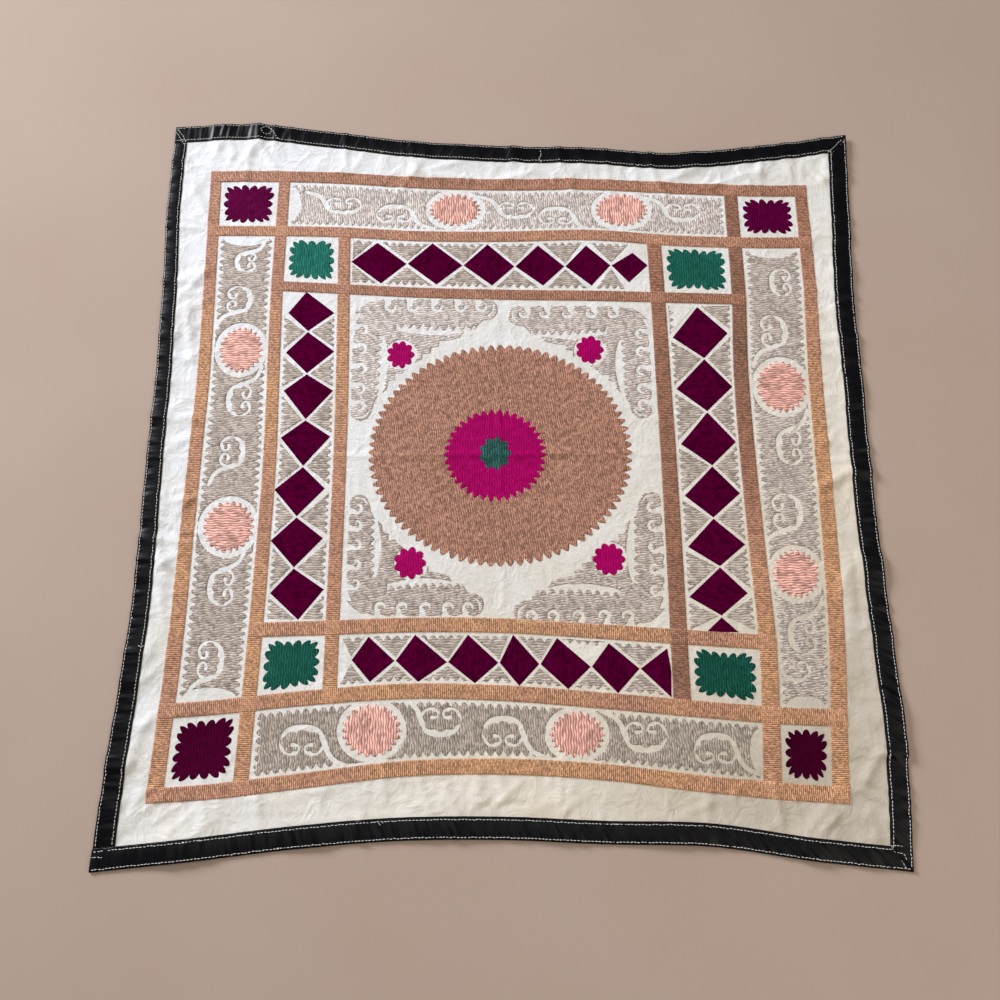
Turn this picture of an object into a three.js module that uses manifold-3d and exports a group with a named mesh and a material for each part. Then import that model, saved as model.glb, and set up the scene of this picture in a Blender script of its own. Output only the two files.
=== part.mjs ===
// Suzani textile: a square cotton cloth with a satin binding, lying on a flat surface.
// Millimetres, +X to the right, +Y to the far edge, +Z up, z = 0 is the surface it lies on.
// The origin is the middle of the outline, on that surface.
import * as THREE from 'three';
import { mergeVertices } from 'three/addons/utils/BufferGeometryUtils.js';
import Module from 'manifold-3d';

const wasm = await Module();
wasm.setup();

// Cloth and binding
const CLOTH = 1.2; // thickness of the ground cloth
const SATIN = 1.0; // thickness of one layer of the binding
const GAP = 0.3; // air between two pieces
const STITCHED = 0.8; // how far embroidery stands above the ground cloth
const SLOPE = 1.6; // width of the sloping side of an embroidered band
const SETTLE = 15; // distance over which the cloth comes down from the binding to the surface
const EDGE_IN = SATIN + GAP; // the ground cloth's edge, measured in from the binding's edge
const EDGE_UP = SATIN + GAP; // the ground cloth's underside where the binding holds it

// The lattice is given by lines that run up the cloth and lines that run across it. Each gives
// its place at these stations, measured from the middle of the cloth along the line.
const STATIONS = [-600, -450, -300, -150, 0, 150, 300, 450, 600];

// places: the line's x at each station of y; near and far: the band's width at the near and the
// far edge; from and to: the lines across between which the band is worked
const UPRIGHTS = [
  { name: 'left edge', near: 0, far: 0,
    places: [-605.5, -597, -586, -581, -582, -580, -582, -588, -586] },
  { name: 'outer left', near: 26, far: 19, from: 1, to: 6,
    places: [-526, -518, -510, -507, -504, -501, -503, -506, -509] },
  { name: 'inner left', near: 24, far: 20, from: 1, to: 6,
    places: [-398, -393, -388, -384, -382, -385, -388, -387, -386] },
  { name: 'field left', near: 23, far: 21, from: 2, to: 5,
    places: [-269, -268, -268, -268, -268, -270, -274, -278, -281] },
  { name: 'field right', near: 28, far: 24, from: 2, to: 5,
    places: [271, 271, 270, 269, 267, 264, 261, 257, 255] },
  { name: 'inner right', near: 29, far: 23, from: 1, to: 6,
    places: [394, 402, 407, 401, 396, 394, 399, 397, 396] },
  { name: 'outer right', near: 27, far: 21, from: 1, to: 6,
    places: [496, 504, 514, 517, 517, 517, 521, 520, 519] },
  { name: 'right edge', near: 0, far: 0,
    places: [598, 605, 602, 596, 594, 595, 594, 602, 607] },
];

// places: the line's y at each station of x; near and far: the band's width at the left and the
// right; from and to: the uprights between which the band is worked
const CROSSLINES = [
  { name: 'bottom edge', near: 0, far: 0,
    places: [-626.6, -611, -594, -583, -582, -588, -591, -611, -626.6] },
  { name: 'outer bottom', near: 22, far: 25, from: 1, to: 6,
    places: [-523, -515, -498, -481, -478, -486, -503, -516, -523] },
  { name: 'inner bottom', near: 22, far: 26, from: 1, to: 6,
    places: [-402, -392, -377, -367, -370, -381, -394, -405, -407] },
  { name: 'field bottom', near: 23, far: 23, from: 2, to: 5,
    places: [-278, -275, -271, -266, -267, -276, -286, -295, -300] },
  { name: 'field top', near: 18, far: 20, from: 2, to: 5,
    places: [318, 315, 308, 300, 296, 294, 290, 286, 284] },
  { name: 'inner top', near: 19, far: 21, from: 1, to: 6,
    places: [416, 417, 415, 407, 406, 409, 398, 394, 396] },
  { name: 'outer top', near: 22, far: 22, from: 1, to: 6,
    places: [521, 524, 521, 511, 507, 508, 500, 495, 496] },
  { name: 'top edge', near: 0, far: 0,
    places: [622.2, 627.4, 612, 592, 583, 581, 569, 584, 603] },
];

// Width of the binding's face along each edge: at the near or left end, and at the far or right
const BINDING = {
  left: { near: 33, far: 22 },
  right: { near: 32, far: 28 },
  bottom: { near: 33, far: 33 },
  top: { near: 28, far: 28 },
};

// Soft folds in the margins: middle, half length and half width of each, height, and the
// turn of its length from +X in degrees
const FOLDS = [
  { x: -480, y: -580, long: 110, wide: 40, high: 4.5, turn: 30 },
  { x: -300, y: -550, long: 100, wide: 34, high: 3.2, turn: -24 },
  { x: -90, y: -535, long: 110, wide: 34, high: 3.4, turn: 14 },
  { x: 70, y: -540, long: 90, wide: 34, high: 3.0, turn: -18 },
  { x: 260, y: -560, long: 120, wide: 38, high: 3.6, turn: -12 },
  { x: 450, y: -585, long: 90, wide: 38, high: 4.0, turn: 34 },
  { x: -572, y: -330, long: 100, wide: 40, high: 3.6, turn: 50 },
  { x: -560, y: -80, long: 70, wide: 42, high: 2.6, turn: 10 },
  { x: -560, y: 230, long: 90, wide: 40, high: 2.8, turn: 60 },
  { x: -430, y: 590, long: 110, wide: 34, high: 2.6, turn: -8 },
  { x: -60, y: 560, long: 130, wide: 34, high: 2.6, turn: 6 },
  { x: 330, y: 548, long: 120, wide: 34, high: 2.8, turn: 8 },
  { x: 575, y: 330, long: 60, wide: 40, high: 3.6, turn: 12 },
  { x: 575, y: 120, long: 60, wide: 40, high: 3.0, turn: -14 },
  { x: 575, y: -180, long: 60, wide: 44, high: 3.8, turn: 20 },
  { x: 575, y: -400, long: 80, wide: 44, high: 4.2, turn: 50 },
];

// Extra lines of the sheet as shares of the way from each table line to the next
const MARGIN_LEFT = [0.7];
const MARGIN_RIGHT = [0.3];
const MARGIN_BOTTOM = [0.62, 0.77];
const MARGIN_TOP = [0.29];
const FIELD = [0.125, 0.25, 0.375, 0.5, 0.625, 0.75, 0.875];
const BETWEEN_BANDS = { 1: [0.5], 2: [0.5], 3: FIELD, 4: [0.5], 5: [0.5] };

// Embroidered figures that stand up from the ground: middle, size and number of lobes
const DISC = { x: -7, y: 15, width: 430, depth: 378, lobes: 90 };
const DISC_BITE = 11; // depth of the notches between the disc's teeth
const SQUARES = [
  { x: -446, y: 474, width: 77, depth: 76, lobes: 5 },
  { x: 464, y: 444, width: 89, depth: 75, lobes: 5 },
  { x: -460, y: -454, width: 98, depth: 94, lobes: 6 },
  { x: 455, y: -464, width: 68, depth: 79, lobes: 5 },
  { x: -330, y: 364, width: 77, depth: 74, lobes: 5 },
  { x: 331, y: 342, width: 98, depth: 76, lobes: 6 },
  { x: -330, y: -327, width: 89, depth: 76, lobes: 5 },
  { x: 338, y: -343, width: 98, depth: 78, lobes: 6 },
];
const SQUARE_BITE = 7; // depth of the notches between a square's lobes
const NOTCH = 0.3; // half a notch's width, as a share of half a lobe's pitch

// Rows of diamonds: the two lines of the lattice that the row runs between, the half size
// across the row, and the places along the row where the diamonds meet
const DIAMOND_ROWS = [
  { table: 'across', between: [4, 5], half: 39, joints: [-264, -167, -71, 18, 104, 183, 247] },
  { table: 'across', between: [2, 3], half: 37, joints: [-237, -169, -88, -9, 54, 133, 208] },
  { table: 'upright', between: [2, 3], half: 41,
    joints: [-259, -176, -93, -9, 71, 152, 228, 300] },
  { table: 'upright', between: [4, 5], half: 47, joints: [-252, -174, -95, -8, 85, 179, 274] },
];
const DIAMOND_GAP = 1.5; // bare cloth left at each end of a diamond

const CROSSING_TURNS = 8; // turns of the search for the point where two lines cross
const ORDER_STEP = 0.01; // spacing in the order of lines that belong to one table line

// Value of a table line at a place along it: a smooth curve through its stations.
function along(places, place) {
  const step = STATIONS[1] - STATIONS[0];
  const last = STATIONS.length - 2;
  const index = THREE.MathUtils.clamp(Math.floor((place - STATIONS[0]) / step), 0, last);
  const share = (place - STATIONS[index]) / step;
  const here = places[index];
  const next = places[index + 1];
  if (share < 0 || share > 1) return here + (next - here) * share;
  const startSlope = index > 0 ? (next - places[index - 1]) / 2 : next - here;
  const endSlope = index < last ? (places[index + 2] - here) / 2 : next - here;
  const square = share * share;
  const cube = square * share;
  return here * (2 * cube - 3 * square + 1) + startSlope * (cube - 2 * square + share)
    + next * (3 * square - 2 * cube) + endSlope * (cube - square);
}

// Width that changes evenly from one end of the cloth to the other.
function widthAt({ near, far }, place) {
  const share = (place - STATIONS[0]) / (STATIONS.at(-1) - STATIONS[0]);
  return near + (far - near) * THREE.MathUtils.clamp(share, 0, 1);
}

// Columns run up the cloth and rows run across it. A line is a column or a row at a share of the
// way from one line of its table to the next, shifted sideways. Its order sorts it among the
// others, course gives its path, liftCourse the path on which the folds are read for it (the
// binding's inner edge for all that the binding holds), and span the lines between which it is
// an embroidered band.
function makeLine(table, index, { share = 0, shift = () => 0, liftShift = shift, ...rest }) {
  const course = (sideways) => (place) => {
    const here = along(table[index].places, place);
    const next = share > 0 ? along(table[index + 1].places, place) : here;
    return here + (next - here) * share + sideways(place);
  };
  return {
    order: index + share + (rest.orderShift ?? 0),
    course: course(shift),
    liftCourse: course(liftShift),
    span: rest.band ? [table[index].from, table[index].to] : null,
  };
}

// The point where two courses cross.
function crossing(upright, across) {
  let x = upright(0);
  let y = across(x);
  for (let turn = 0; turn < CROSSING_TURNS; turn += 1) {
    x = upright(y);
    y = across(x);
  }
  return [x, y];
}

// Lines across a margin: the cloth's edge, the binding's inner edge, where the cloth is down on
// the surface, and the extra ones. side is 1 from the left or bottom and -1 from the other edges.
function marginLines(table, side, width, shares) {
  const edge = side > 0 ? 0 : table.length - 1;
  const inward = (distance) => (place) => side * distance(widthAt(width, place));
  const orderShift = (step) => side * step * ORDER_STEP;
  return [
    makeLine(table, edge, {
      shift: inward(() => EDGE_IN), liftShift: inward((wide) => wide), orderShift: orderShift(1),
    }),
    makeLine(table, edge, {
      shift: inward((wide) => wide + GAP), liftShift: inward((wide) => wide), orderShift: orderShift(2),
    }),
    makeLine(table, edge, { shift: inward((wide) => wide + SETTLE), orderShift: orderShift(3) }),
    ...shares.map((share) => makeLine(table, side > 0 ? edge : edge - 1, { share })),
  ];
}

// The four lines of one band: the foot and the top of each of its two sloping sides.
function bandLines(table, index) {
  const half = (side, inset) => (place) => side * (widthAt(table[index], place) / 2 - inset);
  return [
    makeLine(table, index, { shift: half(-1, 0), orderShift: -2 * ORDER_STEP }),
    makeLine(table, index, { shift: half(-1, SLOPE), orderShift: -ORDER_STEP, band: true }),
    makeLine(table, index, { shift: half(1, SLOPE), orderShift: ORDER_STEP, band: true }),
    makeLine(table, index, { shift: half(1, 0), orderShift: 2 * ORDER_STEP }),
  ];
}

// All columns or all rows of the sheet, in order.
function sheetLines(table, first, firstShares, last, lastShares) {
  const bands = [];
  for (let index = 1; index < table.length - 1; index += 1) {
    bands.push(...bandLines(table, index));
    const shares = BETWEEN_BANDS[index] ?? [];
    bands.push(...shares.map((share) => makeLine(table, index, { share })));
  }
  return [
    ...marginLines(table, 1, first, firstShares),
    ...bands,
    ...marginLines(table, -1, last, lastShares).reverse(),
  ];
}

const COLUMNS = sheetLines(UPRIGHTS, BINDING.left, MARGIN_LEFT, BINDING.right, MARGIN_RIGHT);
const ROWS = sheetLines(CROSSLINES, BINDING.bottom, MARGIN_BOTTOM, BINDING.top, MARGIN_TOP);

// Smooth step from 0 to 1.
const ease = (share) => THREE.MathUtils.smoothstep(share, 0, 1);

// How far the folds lift the cloth from the surface at a point.
function lift([x, y]) {
  let height = 0;
  for (const fold of FOLDS) {
    const turn = THREE.MathUtils.degToRad(fold.turn);
    const far = ((x - fold.x) * Math.cos(turn) + (y - fold.y) * Math.sin(turn)) / fold.long;
    const off = ((y - fold.y) * Math.cos(turn) - (x - fold.x) * Math.sin(turn)) / fold.wide;
    height += fold.high * ease(1 - Math.abs(far)) * ease(1 - Math.abs(off));
  }
  return height;
}

// How far the binding lifts the ground cloth: fully under it, and down to nothing beside it.
function heldUp([x, y]) {
  const inside = Math.min(
    x - along(UPRIGHTS[0].places, y) - widthAt(BINDING.left, y),
    along(UPRIGHTS.at(-1).places, y) - x - widthAt(BINDING.right, y),
    y - along(CROSSLINES[0].places, x) - widthAt(BINDING.bottom, x),
    along(CROSSLINES.at(-1).places, x) - y - widthAt(BINDING.top, x),
  );
  return EDGE_UP * ease(1 - (inside - 2 * GAP) / (SETTLE - 3 * GAP));
}

// Whether a band is worked where a column and a row cross.
function isBand(upright, across) {
  const within = (span, order) => (
    span !== null && order > span[0] - 1.5 * ORDER_STEP && order < span[1] + 1.5 * ORDER_STEP
  );
  return within(upright.span, across.order) || within(across.span, upright.order);
}

// A closed geometry as a solid, with its shared vertices merged.
function toSolid(geometry) {
  geometry.deleteAttribute('normal');
  geometry.deleteAttribute('uv');
  const merged = mergeVertices(geometry);
  return new wasm.Manifold(new wasm.Mesh({
    numProp: 3,
    vertProperties: new Float32Array(merged.attributes.position.array),
    triVerts: new Uint32Array(merged.index.array),
  }));
}

function toGeometry(solid) {
  const mesh = solid.getMesh();
  const geometry = new THREE.BufferGeometry();
  geometry.setAttribute('position', new THREE.BufferAttribute(mesh.vertProperties, 3));
  geometry.setIndex(new THREE.BufferAttribute(mesh.triVerts, 1));
  return geometry;
}

// The plain sheet: a thin box with a division at every column and row, bent to its places.
function sheetSolid() {
  const geometry = new THREE.BoxGeometry(1, 1, 1, COLUMNS.length - 1, ROWS.length - 1, 1);
  const place = geometry.attributes.position;
  for (let i = 0; i < place.count; i += 1) {
    const upright = COLUMNS[Math.round((place.getX(i) + 0.5) * (COLUMNS.length - 1))];
    const across = ROWS[Math.round((place.getY(i) + 0.5) * (ROWS.length - 1))];
    const point = crossing(upright.course, across.course);
    const underside = heldUp(point) + lift(crossing(upright.liftCourse, across.liftCourse));
    const face = underside + CLOTH + (isBand(upright, across) ? STITCHED : 0);
    place.setXYZ(i, ...point, place.getZ(i) > 0 ? face : underside);
  }
  return toSolid(geometry);
}

// A low block of an outline's shape, to stand up from the sheet.
function figureSolid(points) {
  const shape = new THREE.Shape(points.map(([x, y]) => new THREE.Vector2(x, y)));
  const geometry = new THREE.ExtrudeGeometry(shape, {
    depth: CLOTH / 2 + STITCHED, bevelEnabled: false,
  });
  geometry.translate(0, 0, CLOTH / 2);
  return toSolid(geometry);
}

// A round with pointed lobes.
function discOutline({ x, y, width, depth, lobes }) {
  return Array.from({ length: lobes * 2 }, (_, index) => {
    const angle = (index * Math.PI) / lobes;
    const inset = index % 2 === 0 ? 0 : DISC_BITE;
    return [x + (width / 2 - inset) * Math.cos(angle), y + (depth / 2 - inset) * Math.sin(angle)];
  });
}

// A square with blunt lobes along each side. side holds the near side's points, from corner to
// corner on a square that reaches from -1 to 1, and the other three sides are turns of it.
function squareOutline({ x, y, width, depth, lobes }) {
  const side = [[-1, -1]];
  for (let lobe = 1; lobe < lobes; lobe += 1) {
    const notch = -1 + (2 * lobe) / lobes;
    side.push([notch - NOTCH / lobes, -1], [notch, -1 + (2 * SQUARE_BITE) / depth]);
    side.push([notch + NOTCH / lobes, -1]);
  }
  const turns = [[1, 0], [0, 1], [-1, 0], [0, -1]];
  return turns.flatMap(([cosine, sine]) => side.map(([u, v]) => [
    x + ((u * cosine - v * sine) * width) / 2,
    y + ((u * sine + v * cosine) * depth) / 2,
  ]));
}

// The diamonds of one row, each from point to point along the middle between two lines.
function diamondOutlines({ table, between, half, joints }) {
  const isAcross = table === 'across';
  const lines = between.map((index) => (isAcross ? CROSSLINES : UPRIGHTS)[index].places);
  const point = (place, off) => {
    const middle = (along(lines[0], place) + along(lines[1], place)) / 2 + off;
    return isAcross ? [place, middle] : [middle, place];
  };
  return joints.slice(1).map((end, index) => {
    const start = joints[index] + DIAMOND_GAP;
    const centre = (joints[index] + end) / 2;
    const side = isAcross ? half : -half;
    return [point(start, 0), point(centre, -side), point(end - DIAMOND_GAP, 0), point(centre, side)];
  });
}

function groundCloth() {
  const outlines = [
    discOutline(DISC),
    ...SQUARES.map(squareOutline),
    ...DIAMOND_ROWS.flatMap(diamondOutlines),
  ];
  const figures = outlines.map(figureSolid);
  return toGeometry(wasm.Manifold.union([sheetSolid(), ...figures]));
}

// Heights of the binding's section: the top of its back, and the underside and top of its face
const BACK_TOP = SATIN;
const FACE_UNDER = EDGE_UP + CLOTH + GAP;
const FACE_TOP = FACE_UNDER + SATIN;

// A strip of binding folded round the cloth's edge. Each station gives a point on the strip's
// outer edge and one on its inner edge, and the section is a U that opens inwards. The folds
// lift the whole section by their height at its inner edge, as they do the cloth inside it.
function bindingStrip(stations, width) {
  const wall = SATIN / width;
  const shape = new THREE.Shape([
    [0, 0], [1, 0], [1, BACK_TOP], [wall, BACK_TOP],
    [wall, FACE_UNDER], [1, FACE_UNDER], [1, FACE_TOP], [0, FACE_TOP],
  ].map(([share, height]) => new THREE.Vector2(share, height)));
  const steps = stations.length - 1;
  const geometry = new THREE.ExtrudeGeometry(shape, { depth: steps, steps, bevelEnabled: false });
  const place = geometry.attributes.position;
  for (let i = 0; i < place.count; i += 1) {
    const { outer, inner } = stations[Math.round(place.getZ(i))];
    const share = place.getX(i);
    const [x, y] = outer.map((value, axis) => value + (inner[axis] - value) * share);
    place.setXYZ(i, x, y, place.getY(i) + lift(inner));
  }
  return toGeometry(toSolid(geometry));
}

// The edge lines and the binding's inner edge lines, as courses
const edgeCourse = (table, index, side, width, share) => makeLine(table, index, {
  shift: (place) => side * share * widthAt(width, place),
}).course;
const EDGE = {
  left: [0, 1].map((share) => edgeCourse(UPRIGHTS, 0, 1, BINDING.left, share)),
  right: [0, 1].map((share) => edgeCourse(UPRIGHTS, UPRIGHTS.length - 1, -1, BINDING.right, share)),
  bottom: [0, 1].map((share) => edgeCourse(CROSSLINES, 0, 1, BINDING.bottom, share)),
  top: [0, 1].map((share) => edgeCourse(CROSSLINES, CROSSLINES.length - 1, -1, BINDING.top, share)),
};

// Stations of a strip along one edge, at the sheet's own lines so that both bend alike.
function uprightStations(edge) {
  return ROWS.slice(1, -1).map(({ course }) => ({
    outer: crossing(edge[0], course), inner: crossing(edge[1], course),
  }));
}

function acrossStations(edge) {
  return COLUMNS.slice(1, -1).map(({ course }) => ({
    outer: crossing(course, edge[0]), inner: crossing(course, edge[1]),
  }));
}

// A square end of a strip along the top or bottom, flush with the left edge.
function squareEnd(edge) {
  return { outer: crossing(EDGE.left[0], edge[0]), inner: crossing(EDGE.left[0], edge[1]) };
}

// A mitred end at a right corner, held back along the strip by half the gap.
function mitredEnd(edge, back) {
  const hold = (point) => point.map((value, axis) => value + (back[axis] * GAP) / Math.SQRT2);
  return {
    outer: hold(crossing(EDGE.right[0], edge[0])),
    inner: hold(crossing(EDGE.right[1], edge[1])),
  };
}

// The strips run anticlockwise round the cloth, which keeps their faces outwards.
const STRIPS = [
  { name: 'binding_bottom', width: BINDING.bottom, stations: [
    squareEnd(EDGE.bottom), ...acrossStations(EDGE.bottom), mitredEnd(EDGE.bottom, [-1, 0]),
  ] },
  { name: 'binding_right', width: BINDING.right, stations: [
    mitredEnd(EDGE.bottom, [0, 1]), ...uprightStations(EDGE.right), mitredEnd(EDGE.top, [0, -1]),
  ] },
  { name: 'binding_top', width: BINDING.top, stations: [
    mitredEnd(EDGE.top, [-1, 0]), ...acrossStations(EDGE.top).reverse(), squareEnd(EDGE.top),
  ] },
  { name: 'binding_left', width: BINDING.left, stations: uprightStations(EDGE.left).reverse() },
];

// Materials
const cotton = new THREE.MeshStandardMaterial({ color: 0xe9e6dc, roughness: 0.9, metalness: 0 });
const satin = new THREE.MeshStandardMaterial({ color: 0x17161d, roughness: 0.45, metalness: 0 });

function piece(name, geometry, material) {
  geometry.computeVertexNormals();
  const mesh = new THREE.Mesh(geometry, material);
  mesh.name = name;
  return mesh;
}

const group = new THREE.Group();
group.add(piece('ground_cloth', groundCloth(), cotton));
for (const { name, width, stations } of STRIPS) {
  const middleWidth = (width.near + width.far) / 2;
  group.add(piece(name, bindingStrip(stations, middleWidth), satin.clone()));
}

export default group;
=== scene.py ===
"""Suzani textile: a cotton cloth with silk embroidery and a satin binding, laid on a pale floor.

Layout values are in millimetres, with +X to the right, +Y to the far edge and +Z up. The
meshes are in metres. The layout tables are those of the CAD part, so both fit each other.
"""
from __future__ import annotations

import logging
import math
import random
from dataclasses import dataclass, field
from enum import Enum
from typing import Callable, Sequence

import bmesh
import bpy
import numpy as np
from mathutils import Matrix, Vector
from mathutils.geometry import delaunay_2d_cdt


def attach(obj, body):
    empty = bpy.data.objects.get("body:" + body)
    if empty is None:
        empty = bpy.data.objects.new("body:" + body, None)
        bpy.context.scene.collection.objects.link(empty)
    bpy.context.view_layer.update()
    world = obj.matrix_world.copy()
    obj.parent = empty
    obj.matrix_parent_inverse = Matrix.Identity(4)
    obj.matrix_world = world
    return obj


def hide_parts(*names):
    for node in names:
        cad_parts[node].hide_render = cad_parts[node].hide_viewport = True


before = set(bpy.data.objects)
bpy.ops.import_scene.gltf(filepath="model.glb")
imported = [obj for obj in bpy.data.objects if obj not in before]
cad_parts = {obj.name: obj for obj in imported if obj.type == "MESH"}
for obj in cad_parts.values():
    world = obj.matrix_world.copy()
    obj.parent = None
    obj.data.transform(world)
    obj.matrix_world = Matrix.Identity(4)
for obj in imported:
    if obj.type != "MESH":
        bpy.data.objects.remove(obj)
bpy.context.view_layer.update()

LOG = logging.getLogger("suzani")
SEED = 20

MM = 0.001
Array = np.ndarray
Point = tuple[float, float]
Course = Callable[[Array], Array]

# Heights and widths of the cloth and its binding, as in the CAD part
CLOTH = 1.2
SATIN = 1.0
GAP = 0.3
SETTLE = 15.0
EDGE_IN = SATIN + GAP
EDGE_UP = SATIN + GAP
FACE_TOP = EDGE_UP + CLOTH + GAP + SATIN

# The lattice's tables hold a place every 150 mm
STATIONS = np.arange(-600.0, 601.0, 150.0)


@dataclass(frozen=True)
class LatticeLine:
    """One line of the lattice: its places at the stations, and the band worked on it.

    near and far are the band's width at the two ends, and start and end are the crossing
    lines between which it is worked.
    """

    places: tuple[float, ...]
    near: float = 0.0
    far: float = 0.0
    start: int = 0
    end: int = 0

    def at(self, place: Array | float) -> Array:
        """The line's place at each place along it, on a smooth curve through the stations.

        Args:
            place: Places along the line.

        Returns:
            The line's places across it.
        """
        values = np.asarray(self.places, float)
        slopes = np.gradient(values)
        steps = (np.asarray(place, float) - STATIONS[0]) / (STATIONS[1] - STATIONS[0])
        index = np.clip(np.floor(steps), 0, len(values) - 2).astype(int)
        share = np.clip(steps - index, 0, 1)
        square, cube = share**2, share**3
        curve = (
            values[index] * (2 * cube - 3 * square + 1)
            + slopes[index] * (cube - 2 * square + share)
            + values[index + 1] * (3 * square - 2 * cube)
            + slopes[index + 1] * (cube - square)
        )
        beyond = steps - np.clip(steps, 0, len(values) - 1)
        return curve + beyond * np.where(beyond < 0, slopes[0], slopes[-1])

    def width(self, place: Array | float) -> Array:
        """The band's width, which changes evenly from one end of the cloth to the other."""
        return width_between(self.near, self.far, place)


def width_between(near: float, far: float, place: Array | float) -> Array:
    """Width at a place, changing evenly between the first and the last station."""
    share = (np.asarray(place, float) - STATIONS[0]) / (STATIONS[-1] - STATIONS[0])
    return near + (far - near) * np.clip(share, 0, 1)


UPRIGHTS = (
    LatticeLine((-605.5, -597, -586, -581, -582, -580, -582, -588, -586)),
    LatticeLine((-526, -518, -510, -507, -504, -501, -503, -506, -509), 26, 19, 1, 6),
    LatticeLine((-398, -393, -388, -384, -382, -385, -388, -387, -386), 24, 20, 1, 6),
    LatticeLine((-269, -268, -268, -268, -268, -270, -274, -278, -281), 23, 21, 2, 5),
    LatticeLine((271, 271, 270, 269, 267, 264, 261, 257, 255), 28, 24, 2, 5),
    LatticeLine((394, 402, 407, 401, 396, 394, 399, 397, 396), 29, 23, 1, 6),
    LatticeLine((496, 504, 514, 517, 517, 517, 521, 520, 519), 27, 21, 1, 6),
    LatticeLine((598, 605, 602, 596, 594, 595, 594, 602, 607)),
)
CROSSLINES = (
    LatticeLine((-626.6, -611, -594, -583, -582, -588, -591, -611, -626.6)),
    LatticeLine((-523, -515, -498, -481, -478, -486, -503, -516, -523), 22, 25, 1, 6),
    LatticeLine((-402, -392, -377, -367, -370, -381, -394, -405, -407), 22, 26, 1, 6),
    LatticeLine((-278, -275, -271, -266, -267, -276, -286, -295, -300), 23, 23, 2, 5),
    LatticeLine((318, 315, 308, 300, 296, 294, 290, 286, 284), 18, 20, 2, 5),
    LatticeLine((416, 417, 415, 407, 406, 409, 398, 394, 396), 19, 21, 1, 6),
    LatticeLine((521, 524, 521, 511, 507, 508, 500, 495, 496), 22, 22, 1, 6),
    LatticeLine((622.2, 627.4, 612, 592, 583, 581, 569, 584, 603)),
)
LEFT, RIGHT, BOTTOM, TOP = UPRIGHTS[0], UPRIGHTS[-1], CROSSLINES[0], CROSSLINES[-1]
BINDING_WIDTHS = {"left": (33, 22), "right": (33, 33), "bottom": (33, 33),
                  "top": (32.5, 32.5)}


CREASE_WIDTH = 25  # half width under which a ridge counts as a crease
CRISPNESS = 1.3  # 1 makes the sides of a crease straight


@dataclass(frozen=True)
class Fold:
    """A soft ridge in the cloth: middle, half length, half width, height and turn in degrees."""

    x: float
    y: float
    long: float
    wide: float
    high: float
    turn: float

    def rise(self, x: Array, y: Array) -> Array:
        """Height that the ridge adds at each point.

        Args:
            x: Places to the right.
            y: Places to the far edge.

        Returns:
            The heights.
        """
        cosine, sine = math.cos(math.radians(self.turn)), math.sin(math.radians(self.turn))
        far = ((x - self.x) * cosine + (y - self.y) * sine) / self.long
        off = ((y - self.y) * cosine - (x - self.x) * sine) / self.wide
        across = np.clip(1 - np.abs(off), 0, 1)
        # A narrow crease has a sharp crest, a wide fold a round one
        profile = across ** CRISPNESS if self.wide < CREASE_WIDTH else ease(across)
        return self.high * ease(1 - np.abs(far)) * profile


FOLDS = tuple(Fold(*values) for values in (
    (-480, -580, 110, 40, 4.5, 30), (-300, -550, 100, 34, 3.2, -24),
    (-90, -535, 110, 34, 3.4, 14), (70, -540, 90, 34, 3.0, -18),
    (260, -560, 120, 38, 3.6, -12), (450, -585, 90, 38, 4.0, 34),
    (-572, -330, 100, 40, 3.6, 50), (-560, -80, 70, 42, 2.6, 10),
    (-560, 230, 90, 40, 2.8, 60), (-430, 590, 110, 34, 2.6, -8),
    (-60, 560, 130, 34, 2.6, 6), (330, 548, 120, 34, 2.8, 8),
    (575, 330, 60, 40, 3.6, 12), (575, 120, 60, 40, 3.0, -14),
    (575, -180, 60, 44, 3.8, 20), (575, -400, 80, 44, 4.2, 50),
    (568, 362, 42, 7, 2.0, 2), (566, 261, 40, 7, 1.8, -3),
    (552, -376, 44, 7, 2.0, 0), (-30, -526, 46, 8, 2.0, 30),
    (-7, -534, 40, 8, 1.8, -34), (-52, -543, 34, 8, 1.6, 68),
    (22, -523, 36, 8, 1.6, 8), (-82, -526, 40, 8, 1.6, -60),
    (-529, -512, 44, 7, 1.8, 40), (-516, -526, 44, 7, 1.6, 42),
    (-500, -543, 46, 7, 1.8, 38), (-478, -557, 48, 7, 1.6, 44),
    (-453, -571, 44, 7, 1.6, 40), (201, -519, 60, 10, 2.4, -28),
    (290, -537, 60, 10, 2.2, 24), (378, -547, 50, 9, 2.0, -40),
    (481, -557, 46, 9, 2.2, 38), (544, -483, 50, 9, 2.2, 62),
    (559, -163, 50, 9, 2.0, 48), (554, -15, 46, 9, 1.8, -38),
    (-522, 231, 40, 8, 1.8, 56), (-527, -15, 44, 9, 1.8, -44),
    (-530, -163, 44, 8, 1.8, 36), (-525, -304, 46, 9, 2.0, -52),
    (-539, -410, 46, 9, 2.0, 48), (-468, 558, 50, 8, 1.8, -12),
    (-96, 548, 56, 9, 1.6, 14), (346, 534, 50, 9, 1.8, -20),
))


def ease(share: Array) -> Array:
    """Smooth step from 0 to 1."""
    share = np.clip(share, 0, 1)
    return share * share * (3 - 2 * share)


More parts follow.
